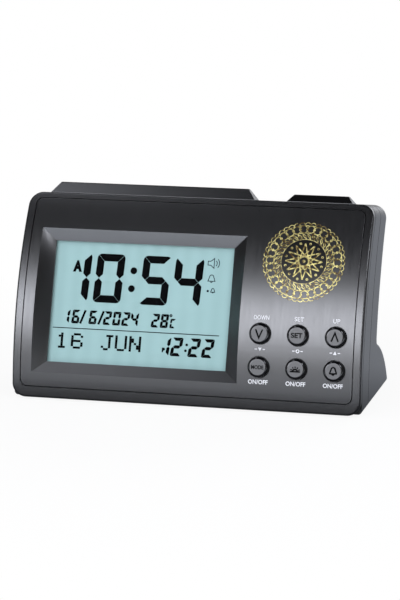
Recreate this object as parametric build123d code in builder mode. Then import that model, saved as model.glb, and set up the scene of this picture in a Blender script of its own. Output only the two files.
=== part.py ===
from build123d import *
import math
import os

# Desk clock with a curved front, a large display, six keys and two bars on top.
# Axes: +X to the right of someone reading the clock, +Y to its back, +Z up.
# Origin: on the table, under the middle of the clock. Lengths are in millimetres.

# ----------------------------------------------------------------------------
# Driving dimensions
# ----------------------------------------------------------------------------
# Case
case_width = 180.0
face_radius = 165.7        # the face is part of a cylinder that lies along X
face_length = 108.3        # along the curve, from the bottom edge to the top edge
base_lean = 1.25           # degrees that the face leans back at its bottom edge
case_depth = 43.0          # face to back wall, measured front to back
back_height = 93.6         # upper edge of the back wall over the base
base_depth = 81.0
hump_height = 27.8         # where the hump leaves the back wall
hump_radius = 52.0
wall = 2.2
upper_corner_radius = 7.0
lower_corner_radius = 2.0
back_edge_radius = 2.5
shoulder_radius = 3.0
split_shift = 22.0         # mid case and rear case meet this far behind the face
joint_gap = 0.05           # left between shells that touch
lip_height = 2.0
parting_chamfer = 0.35
foot_proud = 1.0

# Bezel and fascia
bezel_depth = 4.2
bezel_edge_radius = 1.2
panel_width = 171.2
panel_low = 6.0            # fascia's lower edge, as a length along the face
panel_top_margin = 3.3     # from the fascia's upper edge to the face's
panel_corner_radius = 3.5
panel_thickness = 2.0
panel_gap = 0.25
ledge_width = 2.0

# Display recess and window
display_x = -26.4
display_arc = 50.75        # middle of the display along the face
display_depth = 7.2        # window edge behind the face
window_width = 93.4
window_height = 62.2
bevel_width = 6.9
recess_length = 74.9       # recess along the face
recess_wall = 2.2
recess_floor = 0.8
recess_skin = 0.85         # the recess's walls reach this share of the way to the face
recess_cut = 1.25          # and its opening is cut through beyond the face by this share

# Keys
key_columns = (38.2, 57.3, 76.4)
key_low_arc = 22.1
key_pitch = 16.7
key_radius = 5.3
key_proud = 3.2
key_travel = 0.8
key_gap = 0.25
key_shoulder = 1.6
guide_depth = 3.2
guide_radius = 6.8
flange_radius = 6.3
flange_thickness = 1.0
press_gap = 0.1            # between a key or bar at the end of its travel and its switch

# Bars on top
bar_middle = 11.4          # from the face's top edge to the bars' middle, along the top
bar_depth = 10.0
bar_shoulder = 0.2
bar_travel = 1.2
bar_gap = 0.3
bar_front_run = 4.2
bar_back_run = 2.6
bar_wall = 1.8
bar_tab = 1.5              # tabs at a bar's ends that hold it under the case's top
bar_tab_thickness = 1.0
bar_edge_radius = 0.9
long_bar_x = -27.2
long_bar_length = 107.6
long_bar_height = 5.6
long_bar_end_run = 4.2
short_bar_x = 60.2
short_bar_length = 33.8
short_bar_height = 3.7
short_bar_end_run = 3.0
stem_radius = 1.6
collar_wall = 1.2
bar_rib = 1.2
bar_post_step = 6.8

# Battery bay for two AA cells in a row, and its door
cell_diameter = 14.5
cell_length = 50.5
cell_y = 59.0              # behind the bottom front edge
cell_z = 10.8              # over the base
cell_clearance = 0.6
contact_space = 9.0
bay_wall = 1.6
door_seat = 2.4
cheek_wall = 1.0
door_thickness = 2.0
door_gap = 0.2
catch_width = 14.0
catch_length = 5.5
catch_thickness = 1.0
catch_bead = 0.5
grip_count = 5
grip_radius = 0.35
grip_length = 22.0
grip_step = 1.6            # degrees round the hump's axis
grip_margin = 3.0
knuckle_radius = 1.8
pin_radius = 1.0
pin_length = 2.0
pin_clearance = 0.06
hinge_angle = 39.0         # hinge and door's upper edge, as angles round the hump's axis
door_top_angle = 73.0

# Boards and what they carry
board_thickness = 1.6
main_board_depth = 15.2    # behind the face at the display's middle
main_board_width = 105.0
main_board_height = 85.0
board_post_x = 46.0        # posts of the main board, from the display's middle
board_post_y = 39.2
board_corner = 1.5
key_board_depth = 11.3
key_board_low = 34.2
key_board_high = 82.0
key_board_height = 37.0
bar_board_drop = 11.0      # under the top surface
bar_board_left = -33.0
bar_board_right = 66.0
bar_board_depth = 11.0
switch_side = 6.0
switch_body = 3.5
switch_height = 5.0
plunger_radius = 1.75
post_radius = 2.4
screw_radius = 0.9
pilot_clearance = 0.05
screw_clearance = 0.2
screw_length = 6.0
screw_end_room = 0.5
head_radius = 1.9
head_height = 1.3
lead_radius = 0.5
lead_step = 1.5
lead_bend = 1.5
lead_rise = 5.0            # straight length of a lead where it leaves a board

# Case screws
case_screw_heights = (40.0, 86.0)
case_screw_radius = 1.2
case_screw_length = 9.0
case_head_radius = 2.8
case_head_height = 2.0
boss_radius = 3.5
boss_length = 6.0
boss_bite = 0.4            # bosses run this far into the side wall
column_radius = 4.2
well_radius = 3.2
column_floor = 3.0
shank_clearance = 0.3

# Speaker
speaker_x = 48.0
speaker_height = 60.0
speaker_radius = 20.0
speaker_seat = 6.0         # behind the back wall's outer face
gasket_thickness = 0.5
speaker_flange = 1.2
basket_depth = 8.0
magnet_radius = 11.0
magnet_height = 6.0
speaker_rim = 2.5
speaker_ring = 2.0
magnet_edge = 0.6
paper_thickness = 0.5
dome_radius = 5.0
basket_wall = 1.0
grille_radius = 16.0
slot_width = 1.8
slot_pitch = 3.8
slot_count = 7

# Feet
foot_radius = 5.0
foot_sunk = 1.0
foot_edge = 0.4
foot_x = 70.0
front_foot_y = 12.5
rear_foot_y = 70.0

os.makedirs("parts", exist_ok=True)

# ----------------------------------------------------------------------------
# Reference geometry
# ----------------------------------------------------------------------------


def face_drop(height):
    """How far the curved face falls behind its tangent plane at a height on that plane."""
    return face_radius - math.sqrt(face_radius**2 - height**2)


base_z = foot_proud
back_top_z = base_z + back_height
shoulder_z = base_z + hump_height
start_lean = math.radians(base_lean)
face_axis_z = base_z - face_radius * math.sin(start_lean)

# How far the keys stand in front of the bottom front edge, and where the rounded heel ends
# behind it, so that the whole clock stands centred over the origin
key_mid_arc = key_low_arc + key_pitch / 2
key_lean = start_lean + key_mid_arc / face_radius
key_drop = face_drop(key_pitch / 2)
key_front = ((key_pitch / 2 + key_radius - key_shoulder) * math.sin(key_lean)
             + (key_proud - key_drop - key_shoulder) * math.cos(key_lean) + key_shoulder
             - face_radius * (math.cos(start_lean) - math.cos(key_lean)))
shoulder_back = (face_radius * math.cos(start_lean) + case_depth
                 - math.sqrt(face_radius**2 - (shoulder_z - face_axis_z) ** 2))
hump_chord = math.hypot(base_depth - shoulder_back, hump_height)
heel_angle = (math.atan2(hump_height, base_depth - shoulder_back)
              + math.asin(hump_chord / 2 / hump_radius))
heel_loss = lower_corner_radius * (1 / math.tan(heel_angle / 2) - 1)
front_y = (key_front + heel_loss - base_depth) / 2
face_axis_y = front_y + face_radius * math.cos(start_lean)


def face_point(arc, depth=0.0):
    """Y and Z of the point at a length along the face, and a depth behind it."""
    lean = start_lean + arc / face_radius
    radius = face_radius - depth
    return (face_axis_y - radius * math.cos(lean), face_axis_z + radius * math.sin(lean))


def face_plane(x, arc):
    """Plane that touches the face: X to the right, Y up the face, Z out of it."""
    lean = start_lean + arc / face_radius
    y, z = face_point(arc)
    return Plane(origin=(x, y, z), x_dir=(1, 0, 0), z_dir=(0, -math.cos(lean), math.sin(lean)))


def shifted_y(z, shift):
    """Y of the face's curve, moved back by shift, at a height z."""
    return face_axis_y + shift - math.sqrt(face_radius**2 - (z - face_axis_z) ** 2)


top_front = face_point(face_length)
back_top = (shifted_y(back_top_z, case_depth), back_top_z)
shoulder = (front_y + shoulder_back, shoulder_z)
heel = (front_y + base_depth, base_z)
top_fall = math.atan2(top_front[1] - back_top[1], back_top[0] - top_front[0])

hump_set_back = math.sqrt(hump_radius**2 - (hump_chord / 2) ** 2)
chord_y = (heel[0] - shoulder[0]) / hump_chord
chord_z = (heel[1] - shoulder[1]) / hump_chord
hump_axis_y = (shoulder[0] + heel[0]) / 2 + chord_z * hump_set_back
hump_axis_z = (shoulder[1] + heel[1]) / 2 - chord_y * hump_set_back

top_plane = Plane(origin=(0, *top_front), x_dir=(1, 0, 0),
                  z_dir=(0, math.sin(top_fall), math.cos(top_fall)))
display_plane = face_plane(display_x, display_arc)
panel_high = face_length - panel_top_margin
key_plane = face_plane(0, key_mid_arc)
panel_plane = face_plane(0, (panel_low + panel_high) / 2)
panel_height = 2 * face_radius * math.sin((panel_high - panel_low) / 2 / face_radius)


def hump_point(angle, radius):
    """Y and Z of a point round the hump's axis, angle in degrees over the horizontal."""
    turn = math.radians(angle)
    return (hump_axis_y + radius * math.cos(turn), hump_axis_z + radius * math.sin(turn))


def face_cylinder(depth, shift=0.0):
    """Solid that fills all that lies deeper than depth behind the face moved back by shift."""
    with BuildPart() as cylinder:
        with Locations((0, face_axis_y + shift, face_axis_z)):
            Cylinder(face_radius - depth, 1.5 * case_width, rotation=(0, 90, 0))
    return cylinder.part


def along_x(radius, length, y, z):
    """Round bar along X, centred on the clock's middle."""
    with BuildPart() as bar:
        with Locations((0, y, z)):
            Cylinder(radius, length, rotation=(0, 90, 0))
    return bar.part


def side_edges(form, half_width):
    """Edges that lie in a form's two flat sides."""
    return form.edges().filter_by(lambda edge: abs((edge @ 0.5).X) > half_width - 0.01)


def top_height(y, inset=0.0):
    """Height of the sloping top at a distance y, on a form shrunk by inset."""
    return top_front[1] - (y - top_front[0]) * math.tan(top_fall) - inset / math.cos(top_fall)


def case_form(inset):
    """Closed outer form of the whole case, shrunk by inset all round."""
    half_width = case_width / 2 - inset
    middle_y = front_y + case_depth / 2
    middle_z = (back_top[1] + shoulder[1]) / 2
    front_limit = front_y - wall
    back_limit = heel[0] + wall
    with BuildSketch(Plane.YZ) as open_back:
        with Locations((face_axis_y + case_depth, face_axis_z)):
            Circle(face_radius + inset)
        with Locations((hump_axis_y, hump_axis_z)):
            Circle(hump_radius - inset, mode=Mode.SUBTRACT)
    with BuildSketch(Plane.YZ) as between:
        with BuildLine():
            Polyline((front_limit, base_z + inset), (back_limit, base_z + inset),
                     (back_limit, top_height(back_limit, inset)),
                     (front_limit, top_height(front_limit, inset)), close=True)
        make_face()
    with BuildPart() as form:
        with BuildSketch(Plane.YZ) as side:
            with Locations((face_axis_y, face_axis_z)):
                Circle(face_radius - inset)
            add(open_back.sketch_local, mode=Mode.SUBTRACT)
            add(between.sketch_local, mode=Mode.INTERSECT)
            fillet(side.vertices().sort_by_distance(shoulder)[0], shoulder_radius + inset)
        extrude(amount=half_width, both=True)
        if upper_corner_radius - inset > 0.5:
            straight = side_edges(form, half_width).filter_by(GeomType.LINE)
            fillet(straight.filter_by(lambda edge: (edge @ 0.5).Z > middle_z),
                   upper_corner_radius - inset)
        if back_edge_radius - inset > 0.5:
            curved = side_edges(form, half_width).filter_by(GeomType.LINE, reverse=True)
            fillet(curved.filter_by(lambda edge: (edge @ 0.5).Y > middle_y),
                   back_edge_radius - inset)
        if lower_corner_radius - inset > 0.5:
            straight = side_edges(form, half_width).filter_by(GeomType.LINE)
            fillet(straight.filter_by(lambda edge: (edge @ 0.5).Z < middle_z),
                   lower_corner_radius - inset)
    return form.part


def rim_edges(edges, radius, shift=0.0):
    """Those edges that lie on the face's curve of a given radius, moved back by shift."""
    def on_curve(edge):
        return all(abs(math.hypot((edge @ at).Y - face_axis_y - shift,
                                  (edge @ at).Z - face_axis_z) - radius) < 0.01
                   for at in (0.1, 0.5, 0.9))
    return edges.filter_by(on_curve)


def normal(plane):
    """Axis that stands on a plane and points out of it."""
    return Axis(plane.origin, plane.z_dir)


def mirrored(points):
    """The points given, and the same points on the other side of the middle."""
    return [(sign * x, y) for x, y in points for sign in (-1, 1)]


outer_form = case_form(0)
inner_form = case_form(wall)
skin_form = case_form(wall / 4)
lip_form = case_form(wall / 2 + joint_gap)
lip_seat_form = case_form(wall / 2)
lip_clear_form = case_form(wall + panel_gap)

bezel_back = face_cylinder(bezel_depth)
mid_front = face_cylinder(bezel_depth + joint_gap)
split_face = face_cylinder(0, split_shift)
rear_front = face_cylinder(joint_gap, split_shift)
lip_start = face_cylinder(0, split_shift - lip_height)
lip_end = face_cylinder(0, split_shift + lip_height)
lip_seat_end = face_cylinder(0, split_shift + lip_height + panel_gap)

# ----------------------------------------------------------------------------
# Front bezel: curved frame with a ledge for the fascia and pins into the mid case
# ----------------------------------------------------------------------------
pin_x = case_width / 2 - wall - panel_gap - ledge_width
pin_arcs = (20.0, 54.0, 88.0)
bezel_pin_radius = 1.1
bezel_pin_length = 3.0
socket_radius = 2.6
reach = 3 * bezel_depth

with BuildPart() as panel_pocket:
    with BuildSketch(panel_plane):
        RectangleRounded(panel_width + 2 * panel_gap, panel_height + 2 * panel_gap,
                         panel_corner_radius + panel_gap)
    extrude(amount=reach * 2, both=True)
    add(face_cylinder(panel_thickness + joint_gap), mode=Mode.SUBTRACT)

with BuildPart() as front_bezel:
    with BuildSketch(Plane.YZ):
        with BuildLine():
            ThreePointArc(face_point(0), face_point(face_length / 2), top_front)
            Polyline(top_front, back_top, (back_top[0], base_z), face_point(0))
        make_face()
    extrude(amount=case_width / 2, both=True)
    long_edges = side_edges(front_bezel, case_width / 2).filter_by(GeomType.LINE)
    fillet(long_edges.filter_by(Axis.Z, reverse=True), upper_corner_radius)
    add(bezel_back, mode=Mode.SUBTRACT)
    fillet(rim_edges(front_bezel.edges(), face_radius), bezel_edge_radius)
    chamfer(rim_edges(front_bezel.edges(), face_radius - bezel_depth), parting_chamfer)
    with BuildSketch(panel_plane):
        RectangleRounded(panel_width - 2 * ledge_width, panel_height - 2 * ledge_width,
                         panel_corner_radius)
    extrude(amount=reach * 2, both=True, mode=Mode.SUBTRACT)
    add(panel_pocket.part, mode=Mode.SUBTRACT)
    for x in (-pin_x, pin_x):
        for arc in pin_arcs:
            with BuildSketch(face_plane(x, arc).offset(-bezel_depth - bezel_pin_length)):
                Circle(bezel_pin_radius)
            extrude(amount=bezel_pin_length + 1)
front_bezel.part.label = "front_bezel"
export_step(front_bezel.part, "parts/front_bezel.step")

# ----------------------------------------------------------------------------
# Fascia panel: curved plate, mitred display recess, key guides and board posts
# ----------------------------------------------------------------------------


def recess_block(grow, floor, reach_out):
    """Block between the window's edge and the curved face, with ruled bevels as its sides."""
    inner_x = window_width / 2 + grow
    inner_y = window_height / 2 + grow
    inner_z = -(display_depth + floor)
    swing = (recess_length / 2 + grow) / face_radius
    outer_y = inner_y + reach_out * (face_radius * math.sin(swing) - inner_y)
    corner_z = inner_z + reach_out * (-face_radius * (1 - math.cos(swing)) - inner_z)
    middle_z = inner_z - reach_out * inner_z
    outer_x = inner_x + reach_out * bevel_width
    arcs = [Edge.make_three_point_arc((x, -outer_y, corner_z), (x, 0, middle_z),
                                      (x, outer_y, corner_z)) for x in (-outer_x, outer_x)]
    sills = [Edge.make_line((x, -inner_y, inner_z), (x, inner_y, inner_z))
             for x in (-inner_x, inner_x)]
    faces = [Face.make_surface_from_curves(arcs[0], arcs[1]),
             Face.make_surface_from_curves(arcs[0], sills[0]),
             Face.make_surface_from_curves(arcs[1], sills[1]),
             Face.make_surface_from_curves(sills[0], sills[1])]
    for y, sill_y in ((-outer_y, -inner_y), (outer_y, inner_y)):
        faces.append(Face(Wire.make_polygon([(-outer_x, y, corner_z), (outer_x, y, corner_z),
                                             (inner_x, sill_y, inner_z),
                                             (-inner_x, sill_y, inner_z)])))
    block = Solid(Shell(faces))
    return block.moved(display_plane.location)


recess_outside = recess_block(recess_wall, recess_floor, recess_skin)
recess_inside = recess_block(0, 0, recess_cut)
board_posts = [(x, y) for x in (-board_post_x, board_post_x) for y in (-board_post_y, board_post_y)]
board_post_top = face_drop(board_post_y) + panel_thickness / 2
key_spots = [(x, y) for y in (key_pitch / 2, -key_pitch / 2) for x in key_columns]
key_posts = [((key_columns[i] + key_columns[i + 1]) / 2, 0) for i in (0, 1)]
key_post_top = panel_thickness / 2

with BuildPart() as fascia_panel:
    add(outer_form)
    add(face_cylinder(panel_thickness), mode=Mode.SUBTRACT)
    with BuildSketch(panel_plane):
        RectangleRounded(panel_width, panel_height, panel_corner_radius)
    extrude(amount=reach * 2, both=True, mode=Mode.INTERSECT)
    fillet(rim_edges(fascia_panel.edges(), face_radius), parting_chamfer)
    add(recess_outside)
    with BuildSketch(display_plane.offset(-main_board_depth)):
        with Locations(*board_posts):
            Circle(post_radius)
    extrude(amount=main_board_depth - board_post_top)
    with BuildSketch(key_plane.offset(-key_board_depth)):
        with Locations(*key_posts):
            Circle(post_radius)
    extrude(amount=key_board_depth - key_post_top)
    with BuildSketch(key_plane.offset(-guide_depth)):
        with Locations(*key_spots):
            Circle(guide_radius)
    extrude(amount=guide_depth - key_drop - panel_thickness / 2)
    add(recess_inside, mode=Mode.SUBTRACT)
    with BuildSketch(display_plane.offset(-display_depth - 2 * recess_floor)):
        Rectangle(window_width, window_height)
    extrude(amount=2 * recess_floor + joint_gap, mode=Mode.SUBTRACT)
    with BuildSketch(key_plane.offset(-guide_depth - 1)):
        with Locations(*key_spots):
            Circle(key_radius + key_gap)
    extrude(amount=guide_depth + 2, mode=Mode.SUBTRACT)
    with BuildSketch(display_plane.offset(-main_board_depth)):
        with Locations(*board_posts):
            Circle(screw_radius + pilot_clearance)
    extrude(amount=screw_length, mode=Mode.SUBTRACT)
    with BuildSketch(key_plane.offset(-key_board_depth)):
        with Locations(*key_posts):
            Circle(screw_radius + pilot_clearance)
    extrude(amount=screw_length, mode=Mode.SUBTRACT)
fascia_panel.part.label = "fascia_panel"
export_step(fascia_panel.part, "parts/fascia_panel.step")

# ----------------------------------------------------------------------------
# Display: clear window, glass cell, light guide, lamp, holder and contact strip
# ----------------------------------------------------------------------------
window_flange = 1.8
window_thickness = 1.2
window_corner = 1.0
glass_gap = 0.2            # between window and cell
window_back = display_depth + recess_floor + joint_gap + window_thickness
cell_width = 100.0
cell_height = 70.0
pane_thickness = 1.1
cell_contact = 6.0
cell_front = window_back + glass_gap
cell_back = cell_front + 2 * pane_thickness
guide_width = 94.0
guide_height = 60.0
guide_gap = 0.1
guide_front = cell_back + guide_gap
guide_thickness = main_board_depth - guide_front - guide_gap
guide_chamfer = 0.4
lamp_length = 3.0
lamp_width = 8.0
holder_width = 104.4
holder_height = 73.0
holder_gap = 0.3
strip_width = 90.0
strip_height = 2.4
strip_y = -(cell_height - cell_contact) / 2

with BuildPart() as display_window:
    with BuildSketch(display_plane.offset(-window_back)):
        RectangleRounded(window_width + 2 * window_flange, window_height + 2 * window_flange,
                         window_corner)
    extrude(amount=window_thickness)
    with BuildSketch(display_plane.offset(-window_back + window_thickness)):
        Rectangle(window_width - 2 * joint_gap, window_height - 2 * joint_gap)
    extrude(amount=recess_floor)
display_window.part.label = "display_window"
export_step(display_window.part, "parts/display_window.step")

with BuildPart() as lcd_cell:
    with BuildSketch(display_plane.offset(-cell_front - pane_thickness)):
        Rectangle(cell_width, cell_height)
    extrude(amount=pane_thickness)
    with BuildSketch(display_plane.offset(-cell_back)):
        with Locations((0, cell_contact / 2)):
            Rectangle(cell_width, cell_height - cell_contact)
    extrude(amount=pane_thickness)
lcd_cell.part.label = "lcd_cell"
export_step(lcd_cell.part, "parts/lcd_cell.step")

with BuildPart() as light_guide:
    with BuildSketch(display_plane.offset(-guide_front - guide_thickness)):
        with Locations((0, cell_contact / 2)):
            Rectangle(guide_width, guide_height)
    extrude(amount=guide_thickness)
    chamfer(light_guide.faces().sort_by(normal(display_plane))[0].edges(), guide_chamfer)
light_guide.part.label = "light_guide"
export_step(light_guide.part, "parts/light_guide.step")

lamp_x = (guide_width + lamp_length) / 2 + guide_gap
with BuildPart() as backlight_lamp:
    with BuildSketch(display_plane.offset(-main_board_depth)):
        with Locations((lamp_x, 0)):
            Rectangle(lamp_length, lamp_width)
    extrude(amount=main_board_depth - guide_front)
backlight_lamp.part.label = "backlight_lamp"
export_step(backlight_lamp.part, "parts/backlight_lamp.step")

with BuildPart() as contact_strip:
    with BuildSketch(display_plane.offset(-main_board_depth)):
        with Locations((0, strip_y)):
            Rectangle(strip_width, strip_height)
    extrude(amount=main_board_depth - cell_front - pane_thickness)
contact_strip.part.label = "contact_strip"
export_step(contact_strip.part, "parts/contact_strip.step")

with BuildPart() as display_holder:
    with BuildSketch(display_plane.offset(-main_board_depth)):
        RectangleRounded(holder_width, holder_height, board_corner)
    extrude(amount=main_board_depth - window_back - joint_gap)
    with BuildSketch(display_plane.offset(-cell_back - joint_gap)):
        Rectangle(cell_width + 2 * holder_gap, cell_height + 2 * holder_gap)
    extrude(amount=cell_back, mode=Mode.SUBTRACT)
    with BuildSketch(display_plane.offset(-main_board_depth)):
        with Locations((0, cell_contact / 2)):
            Rectangle(guide_width + 2 * holder_gap, guide_height + 2 * holder_gap)
        with Locations((lamp_x, 0)):
            Rectangle(lamp_length + 2 * holder_gap, lamp_width + 2 * holder_gap)
        with Locations((0, strip_y)):
            Rectangle(strip_width + 2 * holder_gap, strip_height + 2 * holder_gap)
    extrude(amount=cell_back, mode=Mode.SUBTRACT)
display_holder.part.label = "display_holder"
export_step(display_holder.part, "parts/display_holder.step")

# ----------------------------------------------------------------------------
# Main board and what it carries
# ----------------------------------------------------------------------------
board_back = main_board_depth + board_thickness
chip_spot = (-8.0, 6.0)
chip_radius = 9.0
chip_height = 1.8
chip_edge = 1.7
crystal_x = 12.0
crystal_y = 20.0
crystal_radius = 1.0
crystal_length = 6.0
crystal_wire = 0.2
crystal_wire_length = 1.5
sensor_spot = (-44.0, -30.0)
sensor_radius = 1.2
sensor_height = 4.0
sensor_dome = 1.0


def board_screws(plane, back, spots, clamp):
    """Pan-head screws through a board, from its back face, into posts in front of it."""
    with BuildPart() as screws:
        with BuildSketch(plane.offset(-back - head_height)):
            with Locations(*spots):
                Circle(head_radius)
        extrude(amount=head_height)
        with BuildSketch(plane.offset(-back)):
            with Locations(*spots):
                Circle(screw_radius)
        extrude(amount=clamp + screw_length - screw_end_room)
    return screws.part


with BuildPart() as main_board:
    with BuildSketch(display_plane.offset(-board_back)):
        RectangleRounded(main_board_width, main_board_height, board_corner)
        with Locations(*board_posts):
            Circle(screw_radius + screw_clearance, mode=Mode.SUBTRACT)
    extrude(amount=board_thickness)
main_board.part.label = "main_board"
export_step(main_board.part, "parts/main_board.step")

with BuildPart() as controller_chip:
    with BuildSketch(display_plane.offset(-board_back)):
        with Locations(chip_spot):
            Circle(chip_radius)
    extrude(amount=-chip_height)
    fillet(controller_chip.faces().sort_by(normal(display_plane))[0].edges(), chip_edge)
controller_chip.part.label = "controller_chip"
export_step(controller_chip.part, "parts/controller_chip.step")

crystal_depth = board_back + crystal_radius + joint_gap
crystal_spot = display_plane.from_local_coords((crystal_x, crystal_y, -crystal_depth))
with BuildPart() as quartz_crystal:
    with BuildSketch(Plane(origin=crystal_spot, x_dir=display_plane.y_dir,
                           z_dir=display_plane.x_dir)):
        Circle(crystal_radius)
    extrude(amount=crystal_length)
    with BuildSketch(Plane(origin=crystal_spot, x_dir=display_plane.y_dir,
                           z_dir=display_plane.x_dir)):
        with Locations((-crystal_radius / 2, 0), (crystal_radius / 2, 0)):
            Circle(crystal_wire)
    extrude(amount=-crystal_wire_length)
quartz_crystal.part.label = "quartz_crystal"
export_step(quartz_crystal.part, "parts/quartz_crystal.step")

capacitor_spots = [(24.0, -8.0), (32.0, -8.0), (-34.0, 20.0)]
capacitor_radius = 2.5
capacitor_height = 7.0
capacitor_edge = 0.3
with BuildPart() as capacitors:
    with BuildSketch(display_plane.offset(-board_back)):
        with Locations(*capacitor_spots):
            Circle(capacitor_radius)
    extrude(amount=-capacitor_height)
    tops = capacitors.faces().sort_by(normal(display_plane))[:len(capacitor_spots)]
    chamfer(tops.edges(), capacitor_edge)
capacitors.part.label = "capacitors"
export_step(capacitors.part, "parts/capacitors.step")

with BuildPart() as temperature_sensor:
    with BuildSketch(display_plane.offset(-board_back)):
        with Locations(sensor_spot):
            Circle(sensor_radius)
    extrude(amount=-sensor_height)
    fillet(temperature_sensor.faces().sort_by(normal(display_plane))[0].edges(), sensor_dome)
temperature_sensor.part.label = "temperature_sensor"
export_step(temperature_sensor.part, "parts/temperature_sensor.step")

main_board_screws = board_screws(display_plane, board_back, board_posts, board_thickness)
main_board_screws.label = "board_screws"
export_step(main_board_screws, "parts/board_screws.step")

# ----------------------------------------------------------------------------
# Keys, their board and switches
# ----------------------------------------------------------------------------
key_names = ("down_key", "set_key", "up_key", "mode_key", "light_key", "alarm_key")
key_foot = key_board_depth - switch_height - key_travel - press_gap

for name, (key_x, key_y) in zip(key_names, key_spots):
    with BuildPart() as key:
        with BuildSketch(key_plane.offset(-guide_depth - joint_gap)):
            with Locations((key_x, key_y)):
                Circle(key_radius)
        extrude(amount=guide_depth + joint_gap + key_proud - key_drop)
        fillet(key.faces().sort_by(normal(key_plane))[-1].edges(), key_shoulder)
        with BuildSketch(key_plane.offset(-guide_depth - joint_gap)):
            with Locations((key_x, key_y)):
                Circle(flange_radius)
        extrude(amount=-flange_thickness)
        with BuildSketch(key_plane.offset(-guide_depth - joint_gap)):
            with Locations((key_x, key_y)):
                Circle(stem_radius)
        extrude(amount=-(key_foot - guide_depth - joint_gap))
    key.part.label = name
    export_step(key.part, f"parts/{name}.step")

key_board_mid = (key_board_low + key_board_high) / 2
with BuildPart() as key_board:
    with BuildSketch(key_plane.offset(-key_board_depth)):
        with Locations((key_board_mid, 0)):
            RectangleRounded(key_board_high - key_board_low, key_board_height, board_corner)
        with Locations(*key_posts):
            Circle(screw_radius + screw_clearance, mode=Mode.SUBTRACT)
    extrude(amount=-board_thickness)
key_board.part.label = "key_board"
export_step(key_board.part, "parts/key_board.step")


def switches(plane, depth, spots):
    """Push switches that stand on a board at a depth under a plane."""
    with BuildPart() as bank:
        with BuildSketch(plane.offset(-depth)):
            with Locations(*spots):
                Rectangle(switch_side, switch_side)
        extrude(amount=switch_body)
        with BuildSketch(plane.offset(-depth)):
            with Locations(*spots):
                Circle(plunger_radius)
        extrude(amount=switch_height)
    return bank.part


key_switches = switches(key_plane, key_board_depth, key_spots)
key_switches.label = "key_switches"
export_step(key_switches, "parts/key_switches.step")

key_board_screws = board_screws(key_plane, key_board_depth + board_thickness, key_posts,
                                board_thickness)
key_board_screws.label = "key_board_screws"
export_step(key_board_screws, "parts/key_board_screws.step")

# ----------------------------------------------------------------------------
# Bars on top, their board and switches
# ----------------------------------------------------------------------------
bars = {
    "snooze_bar": (long_bar_x, long_bar_length, long_bar_height, long_bar_end_run),
    "stop_bar": (short_bar_x, short_bar_length, short_bar_height, short_bar_end_run),
}
skirt_bottom = wall + 2 * joint_gap + bar_tab_thickness
stem_bottom = bar_board_drop - switch_height - bar_travel - press_gap

for name, (bar_x, length, height, end_run) in bars.items():
    with BuildPart() as bar:
        with BuildSketch(top_plane.offset(-skirt_bottom)):
            with Locations((bar_x, bar_middle)):
                Rectangle(length, bar_depth)
        extrude(amount=skirt_bottom + bar_shoulder)
        with BuildSketch(top_plane.offset(bar_shoulder)):
            with Locations((bar_x, bar_middle)):
                Rectangle(length, bar_depth)
        with BuildSketch(top_plane.offset(height)):
            with Locations((bar_x, bar_middle + (bar_front_run - bar_back_run) / 2)):
                Rectangle(length - 2 * end_run, bar_depth - bar_front_run - bar_back_run)
        loft()
        fillet(bar.faces().sort_by(normal(top_plane))[-1].edges(), bar_edge_radius)
        with BuildSketch(top_plane.offset(-skirt_bottom)):
            with Locations((bar_x, bar_middle)):
                Rectangle(length + 2 * bar_tab, bar_depth)
        extrude(amount=bar_tab_thickness)
        with BuildSketch(top_plane.offset(-skirt_bottom)):
            with Locations((bar_x, bar_middle)):
                Rectangle(length - 2 * bar_wall, bar_depth - 2 * bar_wall)
        extrude(amount=skirt_bottom + bar_shoulder / 2, mode=Mode.SUBTRACT)
        with BuildSketch(top_plane.offset(-stem_bottom)):
            with Locations((bar_x, bar_middle)):
                Circle(stem_radius)
        extrude(amount=stem_bottom + bar_shoulder)
        with BuildSketch(top_plane.offset(-skirt_bottom)):
            with Locations((bar_x, bar_middle)):
                with GridLocations(length / 4, 0, 3, 1):
                    Rectangle(bar_rib, bar_depth - bar_wall)
        extrude(amount=skirt_bottom + bar_shoulder)
    bar.part.label = name
    export_step(bar.part, f"parts/{name}.step")

post_row_x = (long_bar_x + long_bar_length / 2 + short_bar_x - short_bar_length / 2) / 2
bar_posts = [(post_row_x, bar_middle + sign * bar_post_step / 2) for sign in (-1, 1)]
bar_board_mid = (bar_board_left + bar_board_right) / 2
with BuildPart() as bar_board:
    with BuildSketch(top_plane.offset(-bar_board_drop)):
        with Locations((bar_board_mid, bar_middle)):
            RectangleRounded(bar_board_right - bar_board_left, bar_board_depth, board_corner)
        with Locations(*bar_posts):
            Circle(screw_radius + screw_clearance, mode=Mode.SUBTRACT)
    extrude(amount=-board_thickness)
bar_board.part.label = "bar_board"
export_step(bar_board.part, "parts/bar_board.step")

bar_switches = switches(top_plane, bar_board_drop,
                        [(long_bar_x, bar_middle), (short_bar_x, bar_middle)])
bar_switches.label = "bar_switches"
export_step(bar_switches, "parts/bar_switches.step")

bar_board_screws = board_screws(top_plane, bar_board_drop + board_thickness, bar_posts,
                                board_thickness)
bar_board_screws.label = "bar_board_screws"
export_step(bar_board_screws, "parts/bar_board_screws.step")

# ----------------------------------------------------------------------------
# Mid case: shell between the bezel and the rear case
# ----------------------------------------------------------------------------
case_screw_x = case_width / 2 - wall - boss_radius + boss_bite
collar_bottom = bar_board_drop - joint_gap


def split_y(z):
    """Y of the joint between mid case and rear case at a height z."""
    return shifted_y(z, split_shift)


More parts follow.
